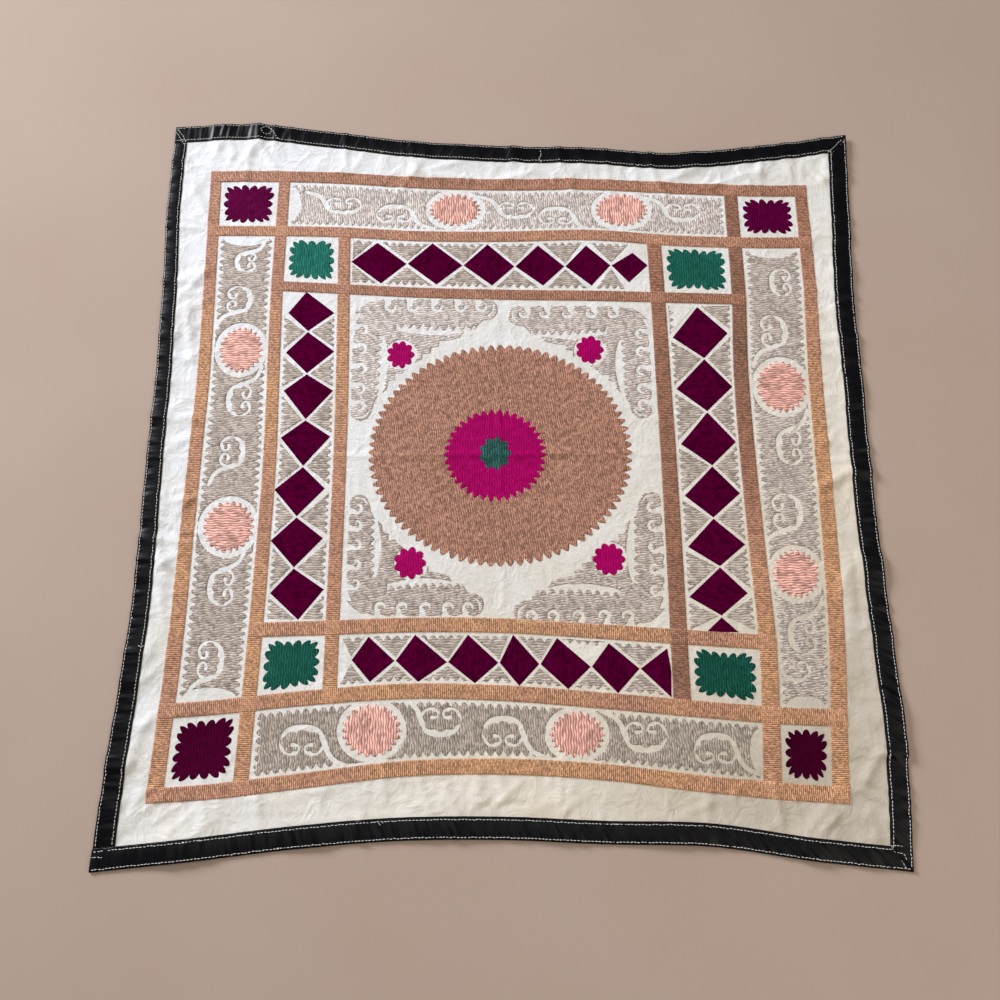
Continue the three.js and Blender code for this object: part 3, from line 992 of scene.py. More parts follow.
@dataclass
class Lattice:
    """The lattice of bands that frames the field and its borders."""

    floss: SilkFloss = SilkFloss(
        "silk_floss_walnut_dyed", ("#876352", "#a5765e", "#bd8b72", "#cc9b72"), grain=0.45,
        hollow=0.65)
    upright_shades: dict[int, tuple[float, ...]] = field(default_factory=lambda: {
        1: (0.9, 0.75, 0.95, 0.7, 1.0, 0.65, 0.7), 2: (0.85, 1.0, 0.7, 0.95, 0.65, 0.6),
        3: (0.95, 0.65, 0.9, 0.6), 4: (0.2, 0.28, 0.2, 0.3),
        5: (0.8, 0.95, 0.8, 0.25, 0.1, 0.15, 0.2), 6: (0.95, 0.9, 1.0, 0.9, 0.7, 0.25),
    })
    cross_shades: dict[int, tuple[float, ...]] = field(default_factory=lambda: {
        1: (0.7, 0.8, 1.0, 0.9, 0.95), 2: (0.7, 0.95, 0.7, 0.9), 3: (0.75, 0.95, 0.7),
        4: (0.5, 0.45, 0.35), 5: (0.8, 0.65, 0.7, 0.6), 6: (0.6, 0.5, 0.55, 0.5),
    })

    def span(self, line: LatticeLine, upright: bool) -> tuple[float, float]:
        """Where a band starts and ends, over the bands at its ends.

        Args:
            line: The band's line.
            upright: Whether it runs up the cloth.

        Returns:
            Both ends, along the line.
        """
        table = CROSSLINES if upright else UPRIGHTS
        ends = []
        for index, sign in ((line.start, -1), (line.end, 1)):
            other = table[index]
            x, y = (crossing(line.at, other.at) if upright else crossing(other.at, line.at))
            place = float((y if upright else x)[0])
            ends.append(place + sign * float(other.width(x[0] if upright else y[0])) / 2)
        return ends[0], ends[1]

    def build(self) -> list[bpy.types.Object]:
        """Both pieces: the uprights and the bands across.

        Returns:
            The two pieces.
        """
        uprights, crosses = [], []
        for index in range(1, 7):
            upright, across = UPRIGHTS[index], CROSSLINES[index]
            start, end = self.span(upright, True)
            uprights.append(Band(upright, True, start, end, self.upright_shades[index]).build())
            start, end = self.span(across, False)
            crosses.append(Band(across, False, start, end, self.cross_shades[index],
                                lap=0.35).build())
        # The dark upright runs on over the band across at the field's foot
        dark, foot = UPRIGHTS[4], CROSSLINES[3]
        x, y = crossing(dark.at, foot.at)
        half = float(foot.width(x[0])) / 2 + 1
        uprights.append(Band(dark, True, float(y[0]) - half, float(y[0]) + half,
                             (0.25, 0.25), lap=0.9).build())
        return [
            dress(join(uprights), "lattice_uprights", self.floss.material()),
            dress(join(crosses), "lattice_bands_across", self.floss.material()),
        ]


@dataclass
class CentralDisc:
    """The dark round with its magenta ring and rosette."""

    x: float = -7
    y: float = 15
    ring: Point = (-15, 10.5)
    rosette: Point = (-15.5, 13.5)
    ring_teeth: int = 38

    def build(self) -> list[bpy.types.Object]:
        """The disc, the magenta round and the rosette.

        Returns:
            The three pieces.
        """
        disc = Figure(
            [lobed_oval(self.x, self.y, 430, 378, 84, 10, 1.2)],
            [lobed_oval(*self.ring, 166, 155, self.ring_teeth, 9, 1.5)],
            Stitch(turn=90, high=0.9, pitch=3.0, couch=2.8, dip=0.5, wave=0.9),
        )
        magenta = Figure(
            [lobed_oval(*self.ring, 169, 158, self.ring_teeth, 9, 1.5)],
            [lobed_oval(*self.rosette, 50, 54, 9, 6)],
            Stitch(turn=90, high=0.8, couch=3.6, dip=0.5, wave=0.7, lap=0.5),
        )
        rosette = Figure([lobed_oval(*self.rosette, 53, 57, 9, 6)],
                         stitch=Stitch(turn=90, high=0.7, couch=3.0, lap=0.8))
        return [
            embroider("disc_brown", [disc],
                      SilkFloss("silk_floss_brown_dyed", ("#9a6e5a", "#b0806a", "#c6947c"),
                                grain=0.5, hollow=0.52)),
            embroider("round_magenta", [magenta],
                      SilkFloss("silk_floss_magenta_dyed", MAGENTA, grain=0.2,
                                specular=0.05, hollow=0.35)),
            embroider("rosette_green", [rosette],
                      SilkFloss("silk_floss_sage_green_dyed", ("#1f4a46", "#2b5a54", "#3a6b64"),
                                specular=0.1)),
        ]


@dataclass
class SmallFlowers:
    """The four small magenta flowers in the field's corners."""

    flowers: tuple[tuple[float, ...], ...] = (
        (-174, 186, 47, 50, 9), (143, 195, 47, 51, 9), (-150, -168, 52, 53, 9),
        (165, -162, 52, 53, 10),
    )

    def build(self) -> list[bpy.types.Object]:
        """The flowers as one piece.

        Returns:
            A list of one piece.
        """
        figures = [
            Figure([lobed_oval(x, y, w, d, int(n), 6)], stitch=Stitch(turn=90, couch=4.0))
            for x, y, w, d, n in self.flowers
        ]
        return [embroider("flowers_magenta", figures,
                          SilkFloss("silk_floss_magenta_light_dyed", MAGENTA, grain=0.2,
                                    specular=0.05, hollow=0.35))]


@dataclass
class CornerSquares:
    """The lobed squares in the lattice's corner bays: dark outer ones and green inner ones."""

    margin: float = 6.0
    bite: float = 8.5
    pitch: float = 17.5
    rounding: float = 6.0
    rounding_reach: float = 13.0

    def corner(self, column: int, row: int, right: int, up: int) -> Point:
        """A corner of the bay between two bands, held back by the margin.

        Args:
            column: The upright band's number.
            row: The number of the band across.
            right: 1 for the bay to the band's right, -1 for the other one.
            up: 1 for the bay past the band across, -1 for the other one.

        Returns:
            The corner.
        """
        upright, across = UPRIGHTS[column], CROSSLINES[row]
        x, y = crossing(upright.at, across.at)
        shift_x = right * (float(upright.width(y[0])) / 2 + self.margin)
        shift_y = up * (float(across.width(x[0])) / 2 + self.margin)
        return float(x[0]) + shift_x, float(y[0]) + shift_y

    def outline(self, column: int, row: int) -> list[Point]:
        """A bay's square, whose four sides are rows of round lobes.

        Args:
            column: The upright band to the bay's left.
            row: The band across on the near side of the bay.

        Returns:
            The outline's points.
        """
        corners = [
            self.corner(column, row, 1, 1), self.corner(column + 1, row, -1, 1),
            self.corner(column + 1, row + 1, -1, -1), self.corner(column, row + 1, 1, -1),
        ]
        outline = []
        middle = np.mean(corners, axis=0)
        for start, end in zip(corners, corners[1:] + corners[:1]):
            lobes = max(4, round(math.dist(start, end) / self.pitch))
            for t in np.arange(0, 1, 1 / (lobes * 8)):
                spot = np.add(start, np.subtract(end, start) * t)
                # A lobe points out at each corner, and the notches are cut towards the middle
                inset = self.bite * (1 - abs(math.cos(math.pi * t * lobes)) ** 0.8)
                uneven = 2.5 * float(hashed(np.array(round(t * lobes)), np.array(start[0])))
                far = min(t, 1 - t) * math.dist(start, end)
                uneven += self.rounding * max(0.0, 1 - far / self.rounding_reach)
                inward = (middle - spot) / np.linalg.norm(middle - spot)
                spot = spot + inward * (inset + uneven)
                outline.append((float(spot[0]), float(spot[1])))
        return outline

    def build(self) -> list[bpy.types.Object]:
        """The outer squares and the inner squares.

        Returns:
            The two pieces.
        """
        outer = {(1, 5): 0.9, (5, 5): 0.85, (1, 1): 0.5, (5, 1): 0.1}
        inner = {(2, 4): 0.8, (4, 4): 0.6, (2, 2): 0.5, (4, 2): 0.3}
        made = []
        for name, bays, dyes in (
            ("squares_burgundy", outer, ("#3a001d", "#480027", "#5e003c")),
            ("squares_green", inner, ("#123f34", "#1d5a4c", "#2c7a6c")),
        ):
            figures = [
                Figure([self.outline(*bay)], stitch=Stitch(turn=90, couch=4.4, shade=shade))
                for bay, shade in bays.items()
            ]
            floss = SilkFloss(name.replace("squares", "silk_floss") + "_dyed", dyes, grain=0.25,
                              specular=0.02, hollow=0.4)
            made.append(embroider(name, figures, floss))
        return made


@dataclass
class DiamondRow:
    """A row of dark diamonds between two lines of the lattice, with triangles in the bays.

    joints are the points where the diamonds meet, and low and high the points of each diamond
    towards its row's first and second line.
    """

    upright: bool
    between: tuple[int, int]
    ends: tuple[int, int]
    joints: tuple[Point, ...]
    low: tuple[Point, ...]
    high: tuple[Point, ...]
    half_bays: tuple[bool, bool] = (True, True)
    gap: float = 6.0
    spare: float = 1.0
    least_clearance: float = 7.0
    bite: float = 7.5
    stub: tuple[Point, ...] = ()

    def diamonds(self) -> list[Figure]:
        """The diamonds, each worked in smooth close rows.

        Returns:
            A figure for each diamond, and one for the stub.
        """
        figures = []
        for start, end, low, high in zip(self.joints, self.joints[1:], self.low, self.high):
            over, up = (0, self.spare) if self.upright else (self.spare, 0)
            first, last = (start[0] + over, start[1] + up), (end[0] - over, end[1] - up)
            figures.append(Figure([[first, low, last, high]], stitch=Stitch(
                turn=0 if self.upright else 90, high=0.6, dip=0.2, wave=0.3, couch=5)))
        if self.stub:
            figures.append(Figure([list(self.stub)], stitch=Stitch(high=0.6, dip=0.2, wave=0.3)))
        return figures

    def base(self, side: int, place: float) -> Point:
        """A point beside the band on one side of the row, at a place along the row.

        Args:
            side: -1 for the row's first line, 1 for its second.
            place: The place.

        Returns:
            The point.
        """
        table = UPRIGHTS if self.upright else CROSSLINES
        line = table[self.between[0] if side < 0 else self.between[1]]
        off = float(line.at(place)) - side * (float(line.width(place)) / 2 + 4.0)
        return (off, place) if self.upright else (place, off)

    def clearance(self, side: int, tip: Point) -> float:
        """How far along the row a triangle keeps from a diamond's point.

        Args:
            side: -1 for the row's first line, 1 for its second.
            tip: The diamond's point towards that line.

        Returns:
            The distance in mm, larger where the point passes the triangle's long side.
        """
        key = 1 if self.upright else 0
        past = side * (tip[1 - key] - self.base(side, tip[key])[1 - key])
        return max(self.least_clearance, self.gap + 1.1 * past)

    def triangles(self) -> list[Figure]:
        """The grey triangles, with lobes along their long side.

        Returns:
            A figure for each triangle.
        """
        key = 1 if self.upright else 0
        table = CROSSLINES if self.upright else UPRIGHTS
        first, last = (table[i] for i in self.ends)
        middle = self.joints[0][1 - key]
        limits = (float(first.at(middle) + first.width(middle) / 2) + 4,
                  float(last.at(middle) - last.width(middle) / 2) - 4)
        figures = []
        for side, tips in ((-1, self.low), (1, self.high)):
            for i, joint in enumerate(self.joints):
                start = (tips[i - 1][key] + self.clearance(side, tips[i - 1])
                         if i > 0 else limits[0])
                end = (tips[i][key] - self.clearance(side, tips[i])
                       if i < len(tips) else limits[1])
                if end - start < 14 or (i == 0 and not self.half_bays[0]) or (
                        i == len(tips) and not self.half_bays[1]):
                    continue
                place = min(max(joint[key], start), end)
                off = joint[1 - key] + side * self.gap
                tip = (off, place) if self.upright else (place, off)
                middle_base = self.base(side, (start + end) / 2)
                inward = -side if self.upright else side
                path = [self.base(side, start), middle_base, self.base(side, end)]
                # The end lobes are whole, so that the corners keep clear of the diamonds
                edge = toothed(path, 11.5 if self.upright else 14, self.bite, -inward,
                               lambda share: min(1.0, 8 * share, 8 * (1 - share)))
                figures.append(Figure([[*edge, tip]], stitch=Stitch(
                    pitch=3.9, couch=4.8, shade=0.55)))
        return figures


@dataclass
class DiamondRows:
    """The four rows of diamonds round the field."""

    rows: tuple[DiamondRow, ...] = (
        DiamondRow(
            False, (4, 5), (3, 4),
            ((-264, 358), (-167, 354), (-71, 351), (18, 349), (104, 349), (183, 351), (247, 351)),
            ((-211, 317), (-116, 315), (-21, 313), (66, 313), (149, 313), (213, 319)),
            ((-219, 394), (-124, 393), (-29, 391), (58, 389), (141, 389), (221, 375)),
            (True, False),
        ),
        DiamondRow(
            False, (2, 3), (3, 4),
            ((-237, -320), (-169, -321), (-88, -323), (-9, -324), (54, -326), (133, -330),
             (208, -333), (257, -338)),
            ((-207, -353), (-133, -353), (-46, -355), (22, -359), (97, -364), (173, -370),
             (254, -376)),
            ((-211, -284), (-139, -281), (-57, -281), (13, -281), (81, -286), (161, -294),
             (251, -302)),
            (True, False),
        ),
        DiamondRow(
            True, (2, 3), (3, 4),
            ((-322, -259), (-333, -176), (-333, -93), (-327, -9), (-327, 71), (-329, 152),
             (-331, 228), (-337, 302)),
            ((-368, -216), (-372, -132), (-371, -48), (-366, 40), (-366, 122), (-366, 190),
             (-366, 262)),
            ((-284, -210), (-289, -128), (-290, -46), (-285, 42), (-284, 122), (-285, 192),
             (-288, 262)),
            (True, False),
        ),
        DiamondRow(
            True, (4, 5), (3, 4),
            ((338, -252), (340, -174), (334, -95), (337, -8), (334, 85), (334, 179), (327, 274)),
            ((289, -222), (291, -142), (290, -58), (288, 29), (285, 125), (283, 217)),
            ((381, -216), (382, -138), (379, -54), (378, 33), (378, 129), (376, 225)),
            stub=((338, -254), (313, -277), (363, -277)),
        ),
    )

    def build(self) -> list[bpy.types.Object]:
        """The diamonds and the triangles.

        Returns:
            The two pieces.
        """
        diamonds = [figure for row in self.rows for figure in row.diamonds()]
        triangles = [figure for row in self.rows for figure in row.triangles()]
        return [
            embroider("diamonds_burgundy", diamonds,
                      SilkFloss("silk_floss_dark_burgundy_dyed",
                                ("#42001f", "#50002d", "#60003a"), grain=0.45,
                                specular=0.0, hollow=0.4)),
            embroider("triangles_grey", triangles, GREY),
        ]


@dataclass(frozen=True)
class Scroll:
    """A bare C-shaped scroll with curled ends and a tail that runs to the border's edge.

    turn is the direction of its opening in degrees, high its half size across the opening and
    wide its half size along the opening.
    """

    x: float
    y: float
    wide: float
    high: float
    turn: float
    tail: bool = True

    HALF = ((-1, 0), (-0.93, 0.42), (-0.6, 0.82), (-0.05, 0.98), (0.5, 0.9), (0.84, 0.55),
            (0.7, 0.22), (0.36, 0.2), (0.22, 0.44))
    TAIL = ((-0.35, 0.9), (0.25, 1.06), (0.8, 1.2), (1.4, 1.55), (1.8, 2.2))

    def place(self, points: Sequence[Point]) -> list[Point]:
        """Points of the scroll's own square as points on the cloth.

        Args:
            points: Points in units of the scroll's half sizes.

        Returns:
            The points in millimetres.
        """
        cosine, sine = math.cos(math.radians(self.turn)), math.sin(math.radians(self.turn))
        return [(self.x + u * self.wide * cosine - v * self.high * sine,
                 self.y + u * self.wide * sine + v * self.high * cosine) for u, v in points]

    def outlines(self) -> list[list[Point]]:
        """The bare outlines: the C and its tail.

        Returns:
            One or two outlines.
        """
        lower = [(u, -v) for u, v in self.HALF]
        path = [*lower[:0:-1], *self.HALF]
        thin, thick = min(6.8, self.wide * 0.4), min(11.5, self.wide * 0.62)
        widths = (thin, thin, thin, 4.6, thick, thick, thick, 4.6, thin, thin, thin)
        outlines = [ribbon(self.place(path), widths, 9, thick * 0.3, -1)]
        if self.tail:
            outlines.append(ribbon(self.place(self.TAIL), (9, 8, 6.8, 6)))
        return outlines


@dataclass
class Border:
    """One border between two lines of the lattice, with scrolls and round flowers.

    between are the two lines beside it, ends the lines at its ends, and concave says which
    ends are hollow.
    """

    upright: bool
    between: tuple[int, int]
    ends: tuple[int, int]
    scrolls: tuple[Scroll, ...]
    flowers: tuple[tuple[float, float, float, float], ...]
    concave: tuple[bool, bool] = (True, True)
    pitch: float = 13.0
    bite: float = 9.5
    shade: float = 0.5
    turn: float = 0.0
    margin: float = 4.0

    def limits(self) -> tuple[float, float]:
        """Where the border starts and ends along its length.

        Returns:
            Both places, along the border.
        """
        table, other = (CROSSLINES, UPRIGHTS) if self.upright else (UPRIGHTS, CROSSLINES)
        middle = float(other[self.between[0]].at(0) + other[self.between[1]].at(0)) / 2
        first, last = (table[i] for i in self.ends)
        return (float(first.at(middle) + first.width(middle) / 2) + self.margin,
                float(last.at(middle) - last.width(middle) / 2) - self.margin)

    def edge(self, side: int, places: Array) -> list[Point]:
        """Points beside the band on one side of the border.

        Args:
            side: -1 for the border's first line, 1 for its second.
            places: Places along the border.

        Returns:
            The points.
        """
        line = (UPRIGHTS if self.upright else CROSSLINES)[self.between[0 if side < 0 else 1]]
        off = line.at(places) - side * (line.width(places) / 2 + self.margin)
        pairs = zip(off, places) if self.upright else zip(places, off)
        return [(float(a), float(b)) for a, b in pairs]

    def body(self) -> list[Point]:
        """The border's outline, with leaf-shaped lobes along both sides and at a full end.

        Returns:
            The outline's points.
        """
        start, end = self.limits()
        key = 1 if self.upright else 0
        spans = [(f[key] - f[2 + key] / 2, f[key] + f[2 + key] / 2) for f in self.flowers]

        def fade(share: float, forward: bool) -> float:
            """Less bite beside the flowers, where the border is a smooth crescent."""
            place = start + (end - start) * (share if forward else 1 - share)
            return 0.15 if any(low + 4 < place < high - 4 for low, high in spans) else 1.0

        places = np.linspace(start, end, 13)
        near = self.edge(-1, places)
        far = self.edge(1, places[::-1])
        # Upright borders run clockwise on these paths, so their notches are cut to the right
        side = -1 if self.upright else 1
        low = toothed(near, self.pitch, self.bite, side, lambda s: fade(s, True))
        high = toothed(far, self.pitch, self.bite, side, lambda s: fade(s, False))
        low_end = toothed([high[-1], low[0]], self.pitch, 0 if self.concave[0] else 8, side)
        high_end = toothed([low[-1], high[0]], self.pitch, 0 if self.concave[1] else 8, side)
        return [*low, *high_end[1:-1], *high, *low_end[1:-1]]

    def hollow(self, place: float) -> list[Point]:
        """The bare lens at an end of the border.

        Args:
            place: The end's place along the border.

        Returns:
            The lens's points.
        """
        spot = np.array([place, place])
        (x0, y0), (x1, y1) = self.edge(-1, spot)[0], self.edge(1, spot)[0]
        across = math.hypot(x1 - x0, y1 - y0) - 10
        size = (across, 30) if self.upright else (34, across)
        return lobed_oval((x0 + x1) / 2, (y0 + y1) / 2, *size, 1, 0, detail=48)

    def figures(self) -> list[Figure]:
        """The grey body with everything that is left bare in it.

        Returns:
            A list of one figure.
        """
        bare = [outline for scroll in self.scrolls for outline in scroll.outlines()]
        for x, y, width, depth in self.flowers:
            bare.append(lobed_oval(x, y, width + 15, depth + 15, 1, 0, detail=64))
        for place, is_hollow in zip(self.limits(), self.concave):
            if is_hollow:
                bare.append(self.hollow(place))
        return [Figure([self.body()], bare, Stitch(
            turn=self.turn, shade=self.shade, wave=0.8, pitch=3.6, couch=3.8))]

    def blooms(self) -> list[Figure]:
        """The round flowers with about 22 teeth.

        Returns:
            A figure for each flower.
        """
        return [
            Figure([lobed_oval(x, y, width, depth, 22, 7, 1.4)],
                   stitch=Stitch(turn=self.turn, wave=0.8, dip=0.4, shade=0.5))
            for x, y, width, depth in self.flowers
        ]


@dataclass
class Borders:
    """The four borders round the diamonds."""

    borders: tuple[Border, ...] = (
        Border(True, (1, 2), (2, 5), (
            Scroll(-443, 358, 16, 17, 0), Scroll(-453, 287, 19, 23, 180),
            Scroll(-437, 106, 18, 27, 0), Scroll(-446, 16, 18, 25, 180),
            Scroll(-444, -206, 18, 28, 0), Scroll(-456, -320, 18, 28, 180),
        ), ((-442, 195, 74, 83), (-441, -109, 83, 86)), shade=0.55),
        Border(True, (5, 6), (2, 5), (
            Scroll(473, 319, 16, 24, 0, False), Scroll(451, 228, 20, 28, 180),
            Scroll(466, 25, 18, 29, 0), Scroll(450, -85, 22, 29, 180),
            Scroll(463, -281, 19, 27, 0), Scroll(446, -334, 15, 20, 78, False),
        ), ((459, 129, 83, 92), (459, -185, 75, 78)), shade=0.72),
        Border(False, (5, 6), (2, 5), (
            Scroll(-282, 468, 14, 30, 90), Scroll(-191, 449, 15, 31, 270),
            Scroll(19, 459, 14, 30, 90), Scroll(90, 445, 15, 30, 270),
            Scroll(310, 455, 15, 30, 90),
        ), ((-86, 458, 90, 65), (204, 458, 92, 65)), (True, False), 11.5, 7, 1.0, 90),
        Border(False, (1, 2), (2, 5), (
            Scroll(-306, -442, 20, 33, 270), Scroll(-98, -410, 19, 30, 90),
            Scroll(-3, -429, 20, 30, 270), Scroll(212, -432, 20, 31, 90),
            Scroll(317, -454, 20, 31, 270),
        ), ((-202, -425, 91, 79), (109, -431, 84, 69)), (False, True), 13.5, 8.5, 0.3, 90),
    )

    def build(self) -> list[bpy.types.Object]:
        """The side borders, the end borders and the flowers.

        Returns:
            The three pieces.
        """
        sides = [f for b in self.borders if b.upright for f in b.figures()]
        ends = [f for b in self.borders if not b.upright for f in b.figures()]
        blooms = [f for b in self.borders for f in b.blooms()]
        return [
            embroider("borders_sides", sides, GREY),
            embroider("borders_ends", ends, GREY),
            embroider("flowers_pink", blooms,
                      SilkFloss("silk_floss_pink_dyed", ("#dc9a8a", "#e8b0a2", "#f0c0b5"),
                                grain=0.45, hollow=0.55)),
        ]


@dataclass
class CornerMotif:
    """A grey L-shaped spray in a corner of the field, round a small flower.

    x and y are its corner, right and up the directions of its arms, and across and along the
    lengths of the arms.
    """

    x: float
    y: float
    right: int
    up: int
    across: float
    along: float
    circle: Point
    shade: float

    CRESTS = (76, 114, 155, 195, 230)
    CRESTS_ALONG = (70, 105, 141, 176, 207)
    NOTCH = ((-26, -6), (-21, 9), (-18, 18), (-13, 16), (-10, 8), (-6, -6))
    HOOK = ((-19, 12), (-18, 21), (-11, 26), (-4, 23), (-3, 17))

    def place(self, points: Sequence[Point]) -> list[Point]:
        """Points of the spray's own square, 245 by 222, as points on the cloth."""
        return [(self.x + self.right * p * self.across / 245,
                 self.y + self.up * q * self.along / 222) for p, q in points]

    def outline(self) -> list[Point]:
        """Both arms with their inner teeth, and the two stepped leaves beside the flower.

        Returns:
            The outline's points.
        """
        outer = toothed([(46, 5), (130, 3), (226, 4)], 19, 3, 1)
        end = smooth_path([(226, 4), (240, 8), (247, 20), (245, 34), (234, 42), (221, 45),
                           (208, 61)])
        teeth = toothed([(208, 61), (145, 62), (76, 56)], 15, 10, 1)
        leaf = smooth_path([(76, 60), (99, 66), (133, 70), (165, 69), (191, 64)])
        steps = [(183, 75), (166, 80), (149, 81), (149, 91), (136, 93), (136, 103), (122, 105),
                 (121, 114), (112, 118), (92, 134), (88, 140), (77, 139), (76, 151), (66, 153),
                 (64, 166)]
        leaf_along = smooth_path([(56, 174), (61, 150), (64, 125), (62, 95), (56, 72)])
        teeth_along = toothed([(53, 72), (52, 120), (50, 178)], 15, 9, 1)
        end_along = smooth_path([(50, 178), (44, 190), (40, 205), (33, 218), (20, 222), (8, 216),
                                 (4, 204)])
        outer_along = toothed([(4, 204), (3, 120), (5, 46)], 19, 3, 1)
        corner = [(9, 42), (15, 29), (5, 31), (16, 19), (30, 9)]
        return self.place([*outer, *end, *teeth, *leaf, *steps, *leaf_along, *teeth_along,
                           *end_along, *outer_along, *corner])

    def waves(self) -> list[list[Point]]:
        """The bare notch and bare hook beside each crest, which lean towards the corner.

        Returns:
            The bare outlines.
        """
        outlines = []
        for crests, swap in ((self.CRESTS, False), (self.CRESTS_ALONG, True)):
            for crest in crests:
                notch = smooth_path([(crest + a, b) for a, b in self.NOTCH])
                hook = [(crest + a, b) for a, b in self.HOOK]
                if swap:
                    notch, hook = notch[:, ::-1], [(q, p) for p, q in hook]
                outlines.append(self.place(notch))
                outlines.append(ribbon(self.place(hook), (3.4, 5.2, 6.2, 4.6, 2.8)))
        for arc in (((240, 14), (239, 27), (230, 35)), ((14, 217), (27, 215), (35, 206))):
            outlines.append(ribbon(self.place(arc), (2.2, 3.4, 2.2)))
        return outlines

    def figures(self) -> list[Figure]:
        """The whole spray as one figure.

        Returns:
            A list of one figure.
        """
        bare = [lobed_oval(*self.circle, 54, 54, 1, 0, detail=60), *self.waves()]
        return [Figure([self.outline()], bare, Stitch(
            turn=0, shade=self.shade, dip=0.4, wave=0.9, pitch=3.6, couch=3.6))]


@dataclass
class CornerMotifs:
    """The four sprays in the field's corners."""

    motifs: tuple[CornerMotif, ...] = (
        CornerMotif(-259, 292, 1, -1, 245, 222, (-173, 186), 1.0),
        CornerMotif(247, 279, -1, -1, 239, 205, (143, 193), 0.9),
        CornerMotif(-253, -255, 1, 1, 218, 199, (-148, -168), 0.65),
        CornerMotif(255, -270, -1, 1, 239, 219, (167, -161), 0.68),
    )

    def build(self) -> list[bpy.types.Object]:
        """The sprays as one piece."""
        return [embroider("corner_sprays", [f for m in self.motifs for f in m.figures()], GREY)]


@dataclass
class GroundCloth:
    """The square cotton ground, wavy at its hem and laid on the floor."""

    columns: int = 296
    rows: int = 302

    def build(self) -> list[bpy.types.Object]:
        """The cloth as one sheet, fine enough for its creases.

        Returns:
            A list of one piece.
        """
        bm = bmesh.new()
        bmesh.ops.create_grid(bm, x_segments=self.columns, y_segments=self.rows, size=1.0)
        grid = vertex_array(bm)
        right, far = (grid[:, 0] + 1) / 2, (grid[:, 1] + 1) / 2
        x, y = grid[:, 0] * 600, grid[:, 1] * 600
        for _ in range(8):
            left_edge, right_edge = LEFT.at(y) + EDGE_IN, RIGHT.at(y) - EDGE_IN
            x = left_edge + (right_edge - left_edge) * right
            near_edge, far_edge = BOTTOM.at(x) + EDGE_IN, TOP.at(x) - EDGE_IN
            y = near_edge + (far_edge - near_edge) * far
        place_vertices(bm, np.stack([x, y, cloth_top(x, y)], 1))
        return [dress(bm, "ground_sheet", CottonMuslin().material())]


class Side(Enum):
    """The four strips of the binding."""

    BOTTOM = "bottom"
    RIGHT = "right"
    TOP = "top"
    LEFT = "left"


